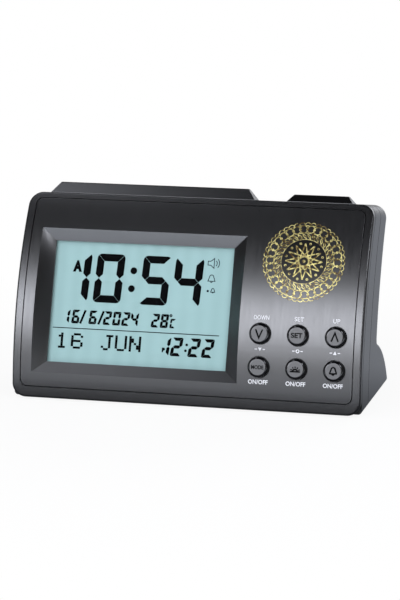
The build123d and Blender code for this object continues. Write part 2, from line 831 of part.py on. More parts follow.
with BuildPart() as mid_inside:
    for z in case_screw_heights:
        with Locations(*[(x, split_y(z) - boss_length / 2, z)
                         for x in (-case_screw_x, case_screw_x)]):
            Cylinder(boss_radius, boss_length + 2 * lip_height, rotation=(90, 0, 0))
    for x in (-pin_x, pin_x):
        for arc in pin_arcs:
            with BuildSketch(face_plane(x, arc).offset(-bezel_depth)):
                Circle(socket_radius)
            extrude(amount=-2 * bezel_pin_length)
    for bar_x, length, height, end_run in bars.values():
        with BuildSketch(top_plane.offset(-collar_bottom)):
            with Locations((bar_x, bar_middle)):
                Rectangle(length + 2 * (bar_tab + bar_gap + collar_wall),
                          bar_depth + 2 * (bar_gap + collar_wall))
                Rectangle(length + 2 * (bar_tab + bar_gap), bar_depth + 2 * bar_gap,
                          mode=Mode.SUBTRACT)
        extrude(amount=collar_bottom - wall / 4)
    with BuildSketch(top_plane.offset(-bar_board_drop)):
        with Locations(*bar_posts):
            Circle(post_radius)
    extrude(amount=bar_board_drop - wall / 4)
    add(skin_form, mode=Mode.INTERSECT)
    add(mid_front, mode=Mode.INTERSECT)
    add(split_face, mode=Mode.SUBTRACT)

with BuildPart() as mid_lip:
    add(lip_form)
    add(inner_form, mode=Mode.SUBTRACT)
    add(lip_start, mode=Mode.INTERSECT)
    add(lip_end, mode=Mode.SUBTRACT)

with BuildPart() as mid_case:
    add(outer_form)
    add(mid_front, mode=Mode.INTERSECT)
    add(split_face, mode=Mode.SUBTRACT)
    chamfer(rim_edges(mid_case.edges(), face_radius - bezel_depth - joint_gap), parting_chamfer)
    chamfer(rim_edges(mid_case.edges(), face_radius, split_shift), parting_chamfer)
    add(inner_form, mode=Mode.SUBTRACT)
    add(mid_lip.part)
    add(mid_inside.part)
    for bar_x, length, height, end_run in bars.values():
        with BuildSketch(top_plane.offset(-2 * wall)):
            with Locations((bar_x, bar_middle)):
                Rectangle(length + 2 * bar_gap, bar_depth + 2 * bar_gap)
        extrude(amount=3 * wall, mode=Mode.SUBTRACT)
    with BuildSketch(top_plane.offset(-bar_board_drop)):
        with Locations(*bar_posts):
            Circle(screw_radius + pilot_clearance)
    extrude(amount=screw_length, mode=Mode.SUBTRACT)
    for x in (-pin_x, pin_x):
        for arc in pin_arcs:
            with BuildSketch(face_plane(x, arc).offset(-bezel_depth)):
                Circle(bezel_pin_radius + pilot_clearance)
            extrude(amount=-bezel_pin_length - panel_gap, mode=Mode.SUBTRACT)
    for z in case_screw_heights:
        with Locations(*[(x, split_y(z), z) for x in (-case_screw_x, case_screw_x)]):
            Cylinder(case_screw_radius + pilot_clearance, 2 * boss_length + 2,
                     rotation=(90, 0, 0), mode=Mode.SUBTRACT)
    with Locations(*[(x, front_y + front_foot_y, base_z) for x in (-foot_x, foot_x)]):
        Cylinder(foot_radius + joint_gap, 2 * foot_sunk, mode=Mode.SUBTRACT)
mid_case.part.label = "mid_case"
export_step(mid_case.part, "parts/mid_case.step")

# ----------------------------------------------------------------------------
# Rear case: back shell with the battery bay in its hump, screw columns, grille
# ----------------------------------------------------------------------------
cell_axis_y = front_y + cell_y
cell_axis_z = base_z + cell_z
bay_radius = cell_diameter / 2 + cell_clearance
bay_half = cell_length + contact_space / 2
door_half = bay_half + door_seat
cheek_x = door_half + door_gap + pin_length + cheek_wall
hinge_y, hinge_z = hump_point(hinge_angle, hump_radius - knuckle_radius)
relief_angle = math.degrees((1.45 * knuckle_radius + door_gap) / hump_radius)
gap_angle = math.degrees(door_gap / hump_radius)
trough_radius = knuckle_radius + door_gap
bay_front = cell_axis_y - bay_radius - bay_wall
bay_wall_y = bay_front + bay_wall
catch_y = bay_wall_y + door_gap + catch_thickness / 2
catch_top = hump_axis_z + math.sqrt((hump_radius - door_thickness / 2)**2
                                    - (catch_y - hump_axis_y)**2)
catch_bead_z = catch_top - catch_length + catch_bead
back_lean = math.asin((base_z + speaker_height - face_axis_z) / face_radius)
speaker_plane = Plane(origin=(speaker_x, shifted_y(base_z + speaker_height, case_depth),
                              base_z + speaker_height),
                      x_dir=(-1, 0, 0), z_dir=(0, math.cos(back_lean), -math.sin(back_lean)))
clamp_radius = speaker_radius + post_radius
speaker_back = speaker_seat + gasket_thickness + speaker_flange
speaker_post_radius = post_radius - 0.3
speaker_posts = [(clamp_radius * math.cos(math.radians(a)), clamp_radius * math.sin(math.radians(a)))
                 for a in (90, 210, 330)]


def hump_sector(radius_in, radius_out, angle_low, angle_high, half_length):
    """Curved slab round the hump's axis, between two radii and two angles."""
    with BuildPart() as sector:
        with BuildSketch(Plane.YZ):
            with BuildLine():
                outer = CenterArc((hump_axis_y, hump_axis_z), radius_out, angle_low,
                                  angle_high - angle_low)
                inner = CenterArc((hump_axis_y, hump_axis_z), radius_in, angle_low,
                                  angle_high - angle_low)
                Line(outer @ 0, inner @ 0)
                Line(outer @ 1, inner @ 1)
            make_face()
        extrude(amount=half_length, both=True)
    return sector.part


door_opening = hump_sector(hump_radius - door_thickness - 3 * joint_gap, hump_radius + 5,
                           hinge_angle - relief_angle, door_top_angle + gap_angle,
                           door_half + door_gap)
hinge_trough = along_x(trough_radius, 2 * (door_half + door_gap), hinge_y, hinge_z)
hinge_bore = along_x(pin_radius + pin_clearance,
                     2 * (door_half + pin_length + 2 * door_gap), hinge_y, hinge_z)

with BuildPart() as lip_slot:
    add(lip_seat_form)
    add(lip_clear_form, mode=Mode.SUBTRACT)
    add(lip_start, mode=Mode.INTERSECT)
    add(lip_seat_end, mode=Mode.SUBTRACT)

with BuildPart() as rear_inside:
    for z in case_screw_heights:
        with Locations(*[(x, split_y(z) + case_depth / 2, z)
                         for x in (-case_screw_x, case_screw_x)]):
            Cylinder(column_radius, case_depth, rotation=(90, 0, 0))
    with Locations((0, (bay_front + heel[0]) / 2, base_z + hump_height / 2)):
        Box(2 * cheek_x, heel[0] - bay_front, hump_height)
    with BuildSketch(speaker_plane.offset(-speaker_seat)):
        Circle(speaker_radius)
        Circle(speaker_radius - speaker_ring, mode=Mode.SUBTRACT)
    extrude(amount=speaker_seat)
    with BuildSketch(speaker_plane.offset(-speaker_back)):
        with Locations(*speaker_posts):
            Circle(speaker_post_radius)
    extrude(amount=speaker_back)
    add(skin_form, mode=Mode.INTERSECT)
    add(rear_front, mode=Mode.INTERSECT)

with BuildPart() as rear_case:
    add(outer_form)
    add(rear_front, mode=Mode.INTERSECT)
    chamfer(rim_edges(rear_case.edges(), face_radius - joint_gap, split_shift), parting_chamfer)
    add(inner_form, mode=Mode.SUBTRACT)
    add(rear_inside.part)
    add(lip_slot.part, mode=Mode.SUBTRACT)
    with BuildSketch(Plane.YZ):
        with Locations((cell_axis_y, cell_axis_z + bay_radius)):
            Rectangle(2 * bay_radius, 4 * bay_radius)
        with Locations(((cell_axis_y + hinge_y - trough_radius - bay_wall) / 2,
                        cell_axis_z + bay_radius)):
            Rectangle(hinge_y - trough_radius - bay_wall - cell_axis_y, 2 * bay_radius)
    extrude(amount=bay_half, both=True, mode=Mode.SUBTRACT)
    with Locations((0, bay_wall_y, catch_bead_z + catch_bead)):
        Box(catch_width + 4 * door_gap, 3 * catch_bead, 6 * catch_bead, mode=Mode.SUBTRACT)
    add(door_opening, mode=Mode.SUBTRACT)
    add(hinge_trough, mode=Mode.SUBTRACT)
    add(hinge_bore, mode=Mode.SUBTRACT)
    for z in case_screw_heights:
        seat_y = split_y(z) + column_floor
        with Locations(*[(x, seat_y + case_depth / 2, z) for x in (-case_screw_x, case_screw_x)]):
            Cylinder(well_radius, case_depth, rotation=(90, 0, 0), mode=Mode.SUBTRACT)
        with Locations(*[(x, seat_y, z) for x in (-case_screw_x, case_screw_x)]):
            Cylinder(case_screw_radius + shank_clearance, 4 * column_floor, rotation=(90, 0, 0),
                     mode=Mode.SUBTRACT)
    with BuildSketch(speaker_plane.offset(-speaker_back)):
        with Locations(*speaker_posts):
            Circle(screw_radius + pilot_clearance)
    extrude(amount=speaker_back - wall / 2, mode=Mode.SUBTRACT)
    with BuildSketch(speaker_plane.offset(-speaker_seat)):
        for row in range(slot_count):
            slot_y = (row - (slot_count - 1) / 2) * slot_pitch
            with Locations((0, slot_y)):
                SlotOverall(2 * math.sqrt(grille_radius**2 - slot_y**2), slot_width)
    extrude(amount=2 * speaker_seat, mode=Mode.SUBTRACT)
    with Locations(*[(x, front_y + rear_foot_y, base_z) for x in (-foot_x, foot_x)]):
        Cylinder(foot_radius + joint_gap, 2 * foot_sunk, mode=Mode.SUBTRACT)
rear_case.part.label = "rear_case"
export_step(rear_case.part, "parts/rear_case.step")

with BuildPart() as case_screws:
    for z in case_screw_heights:
        seat_y = split_y(z) + column_floor
        with Locations(*[(x, seat_y + case_head_height / 2 + joint_gap, z)
                         for x in (-case_screw_x, case_screw_x)]):
            Cylinder(case_head_radius, case_head_height, rotation=(90, 0, 0))
        with Locations(*[(x, seat_y + joint_gap - case_screw_length / 2, z)
                         for x in (-case_screw_x, case_screw_x)]):
            Cylinder(case_screw_radius, case_screw_length, rotation=(90, 0, 0))
case_screws.part.label = "case_screws"
export_step(case_screws.part, "parts/case_screws.step")

# ----------------------------------------------------------------------------
# Battery door and contacts
# ----------------------------------------------------------------------------
with BuildPart() as battery_door:
    add(hump_sector(hump_radius - door_thickness, hump_radius, hinge_angle, door_top_angle,
                    door_half))
    add(along_x(knuckle_radius, 2 * door_half, hinge_y, hinge_z))
    add(along_x(pin_radius, 2 * (door_half + pin_length), hinge_y, hinge_z))
    with BuildSketch(Plane.YZ):
        with Locations((catch_y, catch_top - catch_length / 2)):
            Rectangle(catch_thickness, catch_length)
        with Locations((catch_y - catch_thickness / 2, catch_bead_z)):
            Circle(catch_bead)
    extrude(amount=catch_width / 2, both=True)
    for step in range(grip_count):
        grip_y, grip_z = hump_point(door_top_angle - grip_margin - grip_step * step, hump_radius)
        add(along_x(grip_radius, grip_length, grip_y, grip_z), mode=Mode.SUBTRACT)
battery_door.part.label = "battery_door"
export_step(battery_door.part, "parts/battery_door.step")

spring_wire = 0.45
spring_turns = 3
spring_length = 5.0
spring_radius = 5.0
spring_taper = 20.0
plate_side = 10.0
plate_corner = 1.0
plate_thickness = 0.4
plate_boss_radius = 2.0
plate_boss_height = 1.0
with BuildPart() as battery_spring:
    with BuildLine() as coil:
        Helix(spring_length / spring_turns, spring_length, spring_radius,
              center=(bay_half - spring_wire, cell_axis_y, cell_axis_z), direction=(-1, 0, 0),
              cone_angle=-spring_taper)
    with BuildSketch(Plane(origin=coil.line @ 0, z_dir=coil.line % 0)):
        Circle(spring_wire)
    sweep()
battery_spring.part.label = "battery_spring"
export_step(battery_spring.part, "parts/battery_spring.step")

with BuildPart() as battery_plate:
    with BuildSketch(Plane.YZ.offset(-bay_half)):
        with Locations((cell_axis_y, cell_axis_z)):
            RectangleRounded(plate_side, plate_side, plate_corner)
    extrude(amount=plate_thickness)
    with BuildSketch(Plane.YZ.offset(-bay_half)):
        with Locations((cell_axis_y, cell_axis_z)):
            Circle(plate_boss_radius)
    extrude(amount=plate_boss_height)
battery_plate.part.label = "battery_plate"
export_step(battery_plate.part, "parts/battery_plate.step")

# ----------------------------------------------------------------------------
# Speaker behind the grille
# ----------------------------------------------------------------------------
with BuildPart() as speaker_gasket:
    with BuildSketch(speaker_plane.offset(-speaker_seat - gasket_thickness)):
        Circle(speaker_radius)
        Circle(speaker_radius - speaker_rim, mode=Mode.SUBTRACT)
    extrude(amount=gasket_thickness)
speaker_gasket.part.label = "speaker_gasket"
export_step(speaker_gasket.part, "parts/speaker_gasket.step")

seat = speaker_seat + gasket_thickness
rim_in = speaker_radius - speaker_rim
with BuildPart() as speaker_frame:
    with BuildSketch(speaker_plane.offset(-speaker_back)):
        Circle(speaker_radius)
        Circle(rim_in, mode=Mode.SUBTRACT)
    extrude(amount=speaker_flange)
    with BuildSketch(speaker_plane.offset(-speaker_back)):
        Circle(rim_in + basket_wall)
    with BuildSketch(speaker_plane.offset(-seat - basket_depth)):
        Circle(magnet_radius)
    loft()
    with BuildSketch(speaker_plane.offset(-speaker_back + joint_gap)):
        Circle(rim_in)
    with BuildSketch(speaker_plane.offset(-seat - basket_depth + basket_wall)):
        Circle(magnet_radius - basket_wall)
    loft(mode=Mode.SUBTRACT)
speaker_frame.part.label = "speaker_frame"
export_step(speaker_frame.part, "parts/speaker_frame.step")

with BuildPart() as speaker_cone:
    with BuildSketch(speaker_plane.offset(-seat - paper_thickness)):
        Circle(rim_in - 0.1)
    with BuildSketch(speaker_plane.offset(-seat - basket_depth + 2 * basket_wall)):
        Circle(dome_radius)
    loft()
    with BuildSketch(speaker_plane.offset(-seat)):
        Circle(rim_in - 0.1 - paper_thickness)
    with BuildSketch(speaker_plane.offset(-seat - basket_depth + 2 * basket_wall + 1.2 * paper_thickness)):
        Circle(dome_radius - 0.8 * paper_thickness)
    loft(mode=Mode.SUBTRACT)
speaker_cone.part.label = "speaker_cone"
export_step(speaker_cone.part, "parts/speaker_cone.step")

with BuildPart() as speaker_magnet:
    with BuildSketch(speaker_plane.offset(-seat - basket_depth - joint_gap)):
        Circle(magnet_radius)
    extrude(amount=-magnet_height)
    chamfer(speaker_magnet.faces().sort_by(normal(speaker_plane))[0].edges(), magnet_edge)
speaker_magnet.part.label = "speaker_magnet"
export_step(speaker_magnet.part, "parts/speaker_magnet.step")

speaker_screws = board_screws(speaker_plane, speaker_back, speaker_posts, 0)
speaker_screws.label = "speaker_screws"
export_step(speaker_screws, "parts/speaker_screws.step")

# ----------------------------------------------------------------------------
# Leads between the boards and to the speaker
# ----------------------------------------------------------------------------
board_rear = display_plane.offset(-board_back)
key_board_rear = key_plane.offset(-key_board_depth - board_thickness)
bar_board_under = top_plane.offset(-bar_board_drop - board_thickness)
speaker_front = speaker_plane.offset(-speaker_back)
board_edge = main_board_width / 2


def leads(start, start_spots, end, end_spots):
    """Round leads, each from a spot on one plane to a spot on another, rising from both."""
    with BuildPart() as bundle:
        for (start_x, start_y), (end_x, end_y) in zip(start_spots, end_spots):
            with BuildLine() as route:
                FilletPolyline(start.from_local_coords((start_x, start_y, 0)),
                               start.from_local_coords((start_x, start_y, -lead_rise)),
                               end.from_local_coords((end_x, end_y, -lead_rise)),
                               end.from_local_coords((end_x, end_y, 0)), radius=lead_bend)
            with BuildSketch(Plane(origin=route.line @ 0, z_dir=route.line % 0)):
                Circle(lead_radius)
            sweep(path=route.line)
    return bundle.part


def row(x, y, count, across=0.0, along=0.0):
    """Spots in a row, one lead_step apart in the direction given."""
    return [(x + across * i * lead_step, y + along * i * lead_step) for i in range(count)]


key_leads = leads(board_rear, row(board_edge - 3, -10, 5, along=1.0),
                  key_board_rear, row(key_board_low + 2.3, 8, 5, along=1.0))
key_leads.label = "key_leads"
export_step(key_leads, "parts/key_leads.step")

bar_leads = leads(board_rear, row(30, 30, 3, across=1.0),
                  bar_board_under, row(30 + display_x, bar_middle, 3, across=1.0))
bar_leads.label = "bar_leads"
export_step(bar_leads, "parts/bar_leads.step")

speaker_leads = leads(board_rear, row(board_edge - 3, 8.5, 2, along=2.0),
                      speaker_front, row(speaker_radius - 0.75, -1.5, 2, along=2.0))
speaker_leads.label = "speaker_leads"
export_step(speaker_leads, "parts/speaker_leads.step")

# ----------------------------------------------------------------------------
# Feet
# ----------------------------------------------------------------------------
with BuildPart() as rubber_feet:
    with BuildSketch(Plane.XY):
        with Locations(*mirrored([(foot_x, front_y + y) for y in (front_foot_y, rear_foot_y)])):
            Circle(foot_radius)
    extrude(amount=foot_proud + foot_sunk)
    chamfer(rubber_feet.faces().sort_by(Axis.Z)[:4].edges(), foot_edge)
rubber_feet.part.label = "rubber_feet"
export_step(rubber_feet.part, "parts/rubber_feet.step")
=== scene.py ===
"""Looks of a desk clock: its finishes, prints, inlays, display segments, screws and the studio.

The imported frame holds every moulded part. This script dresses those parts and adds what is printed,
stamped or screwed onto them. Lengths are in millimetres until a place turns them into metres.
"""

import logging
import math
from dataclasses import dataclass, field
from enum import Enum
from typing import Callable, Iterator, Sequence

import bmesh
import bpy
from mathutils import Matrix, Vector


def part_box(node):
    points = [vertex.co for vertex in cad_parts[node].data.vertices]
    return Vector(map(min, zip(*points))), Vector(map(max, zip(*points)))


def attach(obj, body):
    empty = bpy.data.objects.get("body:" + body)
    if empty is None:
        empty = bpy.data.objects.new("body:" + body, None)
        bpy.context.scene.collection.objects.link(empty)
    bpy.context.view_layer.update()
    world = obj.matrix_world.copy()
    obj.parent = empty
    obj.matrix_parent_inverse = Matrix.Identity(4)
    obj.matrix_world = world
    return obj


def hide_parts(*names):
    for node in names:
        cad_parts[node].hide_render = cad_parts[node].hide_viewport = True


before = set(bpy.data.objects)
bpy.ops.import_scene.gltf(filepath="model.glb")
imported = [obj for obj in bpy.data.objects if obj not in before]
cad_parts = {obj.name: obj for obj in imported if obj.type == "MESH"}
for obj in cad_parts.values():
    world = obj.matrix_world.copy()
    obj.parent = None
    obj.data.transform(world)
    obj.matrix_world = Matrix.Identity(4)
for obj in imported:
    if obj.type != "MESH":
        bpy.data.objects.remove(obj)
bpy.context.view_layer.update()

MM = 0.001
HOUSING = "housing"
WHITE = "#FFFFFF"
# Inputs of a Mix node, for values and for colours, which only their numbers tell apart
VALUE_A, VALUE_B, COLOUR_A, COLOUR_B = 2, 3, 6, 7
# A wave texture turns by this many radians over one unit of its scale
WAVE_RADIANS = 20
# Corners nearer than this, in metres, become one, and edges bent by more, in degrees, stay sharp
WELD, SHARP = 1e-7, 35
# Cosine of the most that a face may turn from the direction it is looked for in
FACING = 0.7
log = logging.getLogger("clock")

BMesh = bmesh.types.BMesh
Node = bpy.types.Node
Piece = bpy.types.Object
Socket = bpy.types.NodeSocket
Tree = bpy.types.NodeTree
Point = tuple[float, float]
Placing = Callable[[float, float, float], Vector]
Inputs = dict[str | int, object]


# ---- Colour and nodes ----


def linear(code: str) -> tuple[float, float, float, float]:
    """Turn an sRGB hex colour into the linear colour that Blender uses.

    Args:
        code: Six hex digits after a hash sign.

    Returns:
        Linear red, green, blue and an alpha of 1.
    """
    values = [int(code[i:i + 2], 16) / 255 for i in (1, 3, 5)]
    red, green, blue = (v / 12.92 if v <= 0.04045 else ((v + 0.055) / 1.055) ** 2.4 for v in values)
    return red, green, blue, 1.0


def add_node(tree: Tree, kind: str, inputs: Inputs | None = None,
             **settings: object) -> Node:
    """Add a node with its settings, its values and its links.

    Args:
        tree: Tree that gets the node.
        kind: The node's type name, after ShaderNode.
        inputs: What each input gets, by name or by number: a value, an output socket, or a node,
            which stands for its first output in use.
        settings: Attributes of the node, set before its inputs.

    Returns:
        The new node.
    """
    node = tree.nodes.new("ShaderNode" + kind)
    for name, value in settings.items():
        setattr(node, name, value)
    for socket, value in (inputs or {}).items():
        if isinstance(value, Node):
            value = next(output for output in value.outputs if output.enabled)
        if isinstance(value, Socket):
            tree.links.new(value, node.inputs[socket])
        else:
            node.inputs[socket].default_value = value
    return node


def empty_tree(owner: bpy.types.Material | bpy.types.World) -> Tree:
    """Give the node tree of a material or world, with nothing in it.

    Args:
        owner: The material or world.

    Returns:
        Its tree.
    """
    owner.use_nodes = True
    owner.node_tree.nodes.clear()
    return owner.node_tree


def per_metre(size: float) -> float:
    """Noise scale whose features are about size millimetres wide."""
    return 1 / (size * MM)


# ---- Finishes ----


@dataclass(frozen=True)
class Finish:
    """A surface as it leaves its process, with the values that hold all over it."""

    name: str
    colour: str
    roughness: float
    ior: float = 1.5
    metallic: float = 0.0
    specular: float = 0.5

    def surface(self, tree: Tree, where: Socket) -> Inputs:
        """Inputs of the shader that vary over the surface.

        Args:
            tree: The material's node tree.
            where: Place on the piece, in metres.

        Returns:
            Values or nodes for the Principled shader.
        """
        return {"Base Color": linear(self.colour), "Roughness": self.roughness}

    def output(self, tree: Tree, shader: Node) -> Node:
        """Node that goes to the material's output."""
        return shader

    def material(self) -> bpy.types.Material:
        """Give this finish's material, which is made on first use.

        Returns:
            The material.
        """
        known = bpy.data.materials.get(self.name)
        if known is not None:
            return known
        made = bpy.data.materials.new(self.name)
        tree = empty_tree(made)
        where = add_node(tree, "TexCoord").outputs["Object"]
        shader = add_node(tree, "BsdfPrincipled", {
            "Metallic": self.metallic, "IOR": self.ior, "Specular IOR Level": self.specular,
            **self.surface(tree, where)})
        add_node(tree, "OutputMaterial", {"Surface": self.output(tree, shader)})
        return made


@dataclass(frozen=True)
class Grained(Finish):
    """A surface with a fine all-over grain, such as a spark-eroded mould leaves."""

    mottle: str = ""
    grain: float = 0.6
    relief: float = 0.004
    uneven: float = 0.05
    patch: float = 30.0
    patch_span: Point = (0.36, 0.64)
    stretch: tuple[float, float, float] = (1.0, 1.0, 1.0)

    def surface(self, tree: Tree, where: Socket) -> Inputs:
        """Grain in relief, with a little change of gloss and colour.

        Args:
            tree: The material's node tree.
            where: Place on the piece, in metres.

        Returns:
            Values and nodes for the Principled shader.
        """
        spread = add_node(tree, "Mapping", {"Vector": where, "Scale": self.stretch})
        fine = add_node(tree, "TexNoise", {
            "Vector": spread, "Scale": per_metre(self.grain), "Detail": 3.0, "Roughness": 0.6})
        gloss = add_node(tree, "MapRange", {
            "Value": fine, "To Min": self.roughness - self.uneven,
            "To Max": self.roughness + self.uneven})
        tint: object = linear(self.colour)
        if self.mottle:
            broad = add_node(tree, "TexNoise", {
                "Vector": where, "Scale": per_metre(self.grain * self.patch), "Detail": 2.0})
            patches = add_node(tree, "MapRange", {
                "Value": broad, "From Min": self.patch_span[0], "From Max": self.patch_span[1]})
            tint = add_node(tree, "Mix", {
                "Factor": patches, COLOUR_A: tint, COLOUR_B: linear(self.mottle)},
                data_type="RGBA")
        bump = add_node(tree, "Bump", {
            "Height": fine, "Distance": self.relief * MM, "Strength": 1.0})
        return {"Base Color": tint, "Roughness": gloss, "Normal": bump}


@dataclass(frozen=True)
class Etched(Finish):
    """A liquid crystal pane: a pale film with the faint lines of its clear electrodes.

    The lines' shade turns by one radian over the length per_radian.
    """

    line: str = ""
    per_radian: float = 1.6
    shade_width: float = 40.0

    def surface(self, tree: Tree, where: Socket) -> Inputs:
        """Faint straight lines across the pane, and a slow change of its shade.

        Args:
            tree: The material's node tree.
            where: Place on the pane, in metres.

        Returns:
            Values and nodes for the Principled shader.
        """
        lines = add_node(tree, "TexWave", {
            "Vector": where, "Scale": per_metre(self.per_radian) / WAVE_RADIANS,
            "Distortion": 0.0}, bands_direction="X")
        broad = add_node(tree, "TexNoise", {
            "Vector": where, "Scale": per_metre(self.shade_width)})
        share = add_node(tree, "Math", {0: lines.outputs["Fac"], 1: broad}, operation="MULTIPLY")
        tint = add_node(tree, "Mix", {
            "Factor": share, COLOUR_A: linear(self.colour), COLOUR_B: linear(self.line)},
            data_type="RGBA")
        return {"Base Color": tint, "Roughness": self.roughness}


@dataclass(frozen=True)
class ClearMoulding(Finish):
    """Clear plastic that lets lamps through to what lies behind it."""

    ripple: float = 30.0
    ripple_depth: float = 0.01
    ripple_share: float = 0.2

    def surface(self, tree: Tree, where: Socket) -> Inputs:
        """Clear all through, with the slight ripple of an injection-moulded lens.

        Args:
            tree: The material's node tree.
            where: Place on the piece, in metres.

        Returns:
            Values and nodes for the Principled shader.
        """
        ripple = add_node(tree, "TexNoise", {"Vector": where, "Scale": per_metre(self.ripple)})
        bump = add_node(tree, "Bump", {"Height": ripple, "Distance": self.ripple_depth * MM,
                                       "Strength": self.ripple_share})
        return {"Base Color": linear(self.colour), "Roughness": self.roughness,
                "Transmission Weight": 1.0, "Normal": bump}

    def output(self, tree: Tree, shader: Node) -> Node:
        """Glass for the eye, and open for the rays from lamps.

        Args:
            tree: The material's node tree.
            shader: Its Principled shader.

        Returns:
            Node that goes to the material's output.
        """
        path = add_node(tree, "LightPath")
        bare = add_node(tree, "BsdfTransparent")
        return add_node(tree, "MixShader", {0: path.outputs["Is Shadow Ray"], 1: shader, 2: bare})


@dataclass(frozen=True)
class CoatedPane(Finish):
    """Clear sheet under a coat that stops most of its glare."""

    film: float = 1.02

    def output(self, tree: Tree, shader: Node) -> Node:
        """Clear straight through, with the weak mirror image that the coat leaves.

        Args:
            tree: The material's node tree.
            shader: Its Principled shader.

        Returns:
            Node that goes to the material's output.
        """
        bare = add_node(tree, "BsdfTransparent")
        share = add_node(tree, "Fresnel", {"IOR": self.film})
        return add_node(tree, "MixShader", {0: share, 1: bare, 2: shader})


@dataclass(frozen=True)
class Laminate(Finish):
    """Glass-fibre board under a solder mask, with copper runs that show through it."""

    copper: str = "#3F8A52"
    run: float = 2.2
    run_share: float = 0.12
    run_depth: float = 0.03

    def surface(self, tree: Tree, where: Socket) -> Inputs:
        """Lighter green where a run lies under the mask.

        Args:
            tree: The material's node tree.
            where: Place on the board, in metres.

        Returns:
            Values and nodes for the Principled shader.
        """
        cells = add_node(tree, "TexVoronoi", {
            "Vector": where, "Scale": per_metre(self.run * 2)}, distance="MANHATTAN",
            feature="DISTANCE_TO_EDGE")
        edge = add_node(tree, "Math", {0: cells, 1: self.run_share}, operation="LESS_THAN")
        tint = add_node(tree, "Mix", {
            "Factor": edge, COLOUR_A: linear(self.colour), COLOUR_B: linear(self.copper)},
            data_type="RGBA")
        bump = add_node(tree, "Bump", {
            "Height": edge, "Distance": self.run_depth * MM, "Strength": 0.5})
        return {"Base Color": tint, "Roughness": self.roughness, "Normal": bump}


# ABS moulded against a fine spark-eroded steel and left unpainted: near black, with a broad soft
# highlight where it faces a lamp
CASE_ABS = Grained("abs_satin_black_moulded", "#070708", 0.31, ior=1.54, specular=1.0,
                   mottle="#0A0A0C", grain=0.9, relief=0.001)
# The same plastic under a satin lacquer, whose gloss changes a little more along its sprayed lines
FASCIA_LACQUER = Grained("abs_satin_lacquered", "#070708", 0.31, ior=1.54, specular=1.0,
                         mottle="#0B0B0D", grain=1.0, relief=0.001, uneven=0.07,
                         stretch=(1.0, 0.08, 0.08))
# Keys come from a polished mould: black, with sharp thin reflections on their shoulders
KEY_ABS = Grained("abs_polished_black", "#060607", 0.12, ior=1.54, specular=0.6, mottle="#08080A",
                  grain=2.0, relief=0.0003, uneven=0.02)
# Their flat tops are etched satin in the mould, so they pick up the lamps as an even grey
KEY_TOP_ABS = Grained("abs_satin_key_top", "#0E0E10", 0.31, ior=1.54, specular=0.8,
                      mottle="#121215", grain=0.8, relief=0.0006, uneven=0.02)
# The bars are satin like the case, with a weaker highlight
BAR_ABS = Grained("abs_satin_bar", "#060607", 0.29, ior=1.54, specular=0.7, mottle="#09090B",
                  grain=0.9, relief=0.0006, uneven=0.03)
# Polystyrene inside the case, white and slightly glossy
HOLDER_PS = Grained("polystyrene_white", "#E4E3DD", 0.45, ior=1.59, mottle="#DAD8D0", grain=1.5)
# Acrylic lens under an anti-reflection coat: only a weak mirror image, as white as the lamp is
LENS_ACRYLIC = CoatedPane("acrylic_coated_lens", WHITE, 0.15, metallic=1.0)
# Acrylic light guide: clear with a faint green edge tint
GUIDE_ACRYLIC = ClearMoulding("acrylic_light_guide", "#EEF6F0", 0.08, ior=1.49)
# Liquid crystal pane on a grey-green reflector: pale teal and almost matt
PANE_FILM = Etched("liquid_crystal_film", "#9CBCBB", 0.6, specular=0.0, line="#94B4B3",
                   per_radian=1.3)
# Segments driven dark: the polariser stops the light, so they are near black and matt
SEGMENT_DARK = Finish("crystal_segment_dark", "#08090A", 0.6, specular=0.0)
# Segments driven part dark, which is how thin outlines read on such a pane
SEGMENT_FAINT = Finish("crystal_segment_faint", "#26333A", 0.6, specular=0.0)
# Pad-printed white ink: matt, opaque, very slightly uneven
WHITE_INK = Grained("pad_print_white", "#E6E7E9", 0.5, mottle="#D6D7DA", grain=0.5, relief=0.003)
# Pad-printed dark ink on the keys: dead matt, so it stays black on the satin
DARK_INK = Grained("pad_print_black", "#050506", 0.9, specular=0.08, mottle="#070708", grain=0.5,
                   relief=0.001)
# Hot-stamped metal foil, pale gold and finely rippled, with random patches of painted dark bronze
# that stand in for the dimmer reflections of its ripple, so it turns from bright to bronze within
# millimetres
GOLD_FOIL_WITH_PAINTED_REFLECTIONS = Grained("gold_foil_with_painted_reflections", "#E8DC8E", 0.45, metallic=0.5, mottle="#5A4219",
                    grain=0.7, relief=0.006, uneven=0.1, patch=2.6)
# Black lacquer disc under the foil, hardly smoother than the panel
DISC_BLACK = Finish("lacquer_black_disc", "#050506", 0.28, ior=1.54, specular=0.6)
# Natural rubber pad, matt and a little dusty
FOOT_RUBBER = Grained("moulded_rubber_black", "#1A1A1B", 0.8, mottle="#242424", grain=0.8,
                      relief=0.02, uneven=0.08)
# Silicone strip with its carbon layers, dull and brownish
STRIP_SILICONE = Grained("silicone_carbon_strip", "#5C4B4B", 0.6, mottle="#2A2423", grain=0.6)
# Zinc-plated steel, bright with a slight blue cast
SCREW_ZINC = Grained("steel_zinc_plated", "#C9CDD2", 0.28, metallic=1.0, mottle="#B4B9C0",
                     grain=0.4, relief=0.004)
# Nickel-plated spring steel, bright and slightly warm
CONTACT_NICKEL = Grained("steel_nickel_plated", "#D2CCBE", 0.2, metallic=1.0, mottle="#C2BAA8",
                         grain=0.6, relief=0.002)
# Pressed steel speaker basket, zinc plated and dull
BASKET_STEEL = Grained("steel_pressed_dull", "#9A9DA0", 0.42, metallic=1.0, mottle="#83878B",
                       grain=1.2, relief=0.01)
# Paper cone, black and fibrous
CONE_PAPER = Grained("pulp_paper_black", "#1B1A19", 0.9, mottle="#2A2826", grain=0.5, relief=0.06)
# Sintered ferrite, dark grey and dry
MAGNET_FERRITE = Grained("ferrite_sintered", "#2B2B2D", 0.7, mottle="#353537", grain=0.4,
                         relief=0.02)
# Die-cut foam ring, dark and open-celled
GASKET_FOAM = Grained("polyurethane_foam", "#222223", 0.95, mottle="#2D2D2E", grain=0.5,
                      relief=0.08)
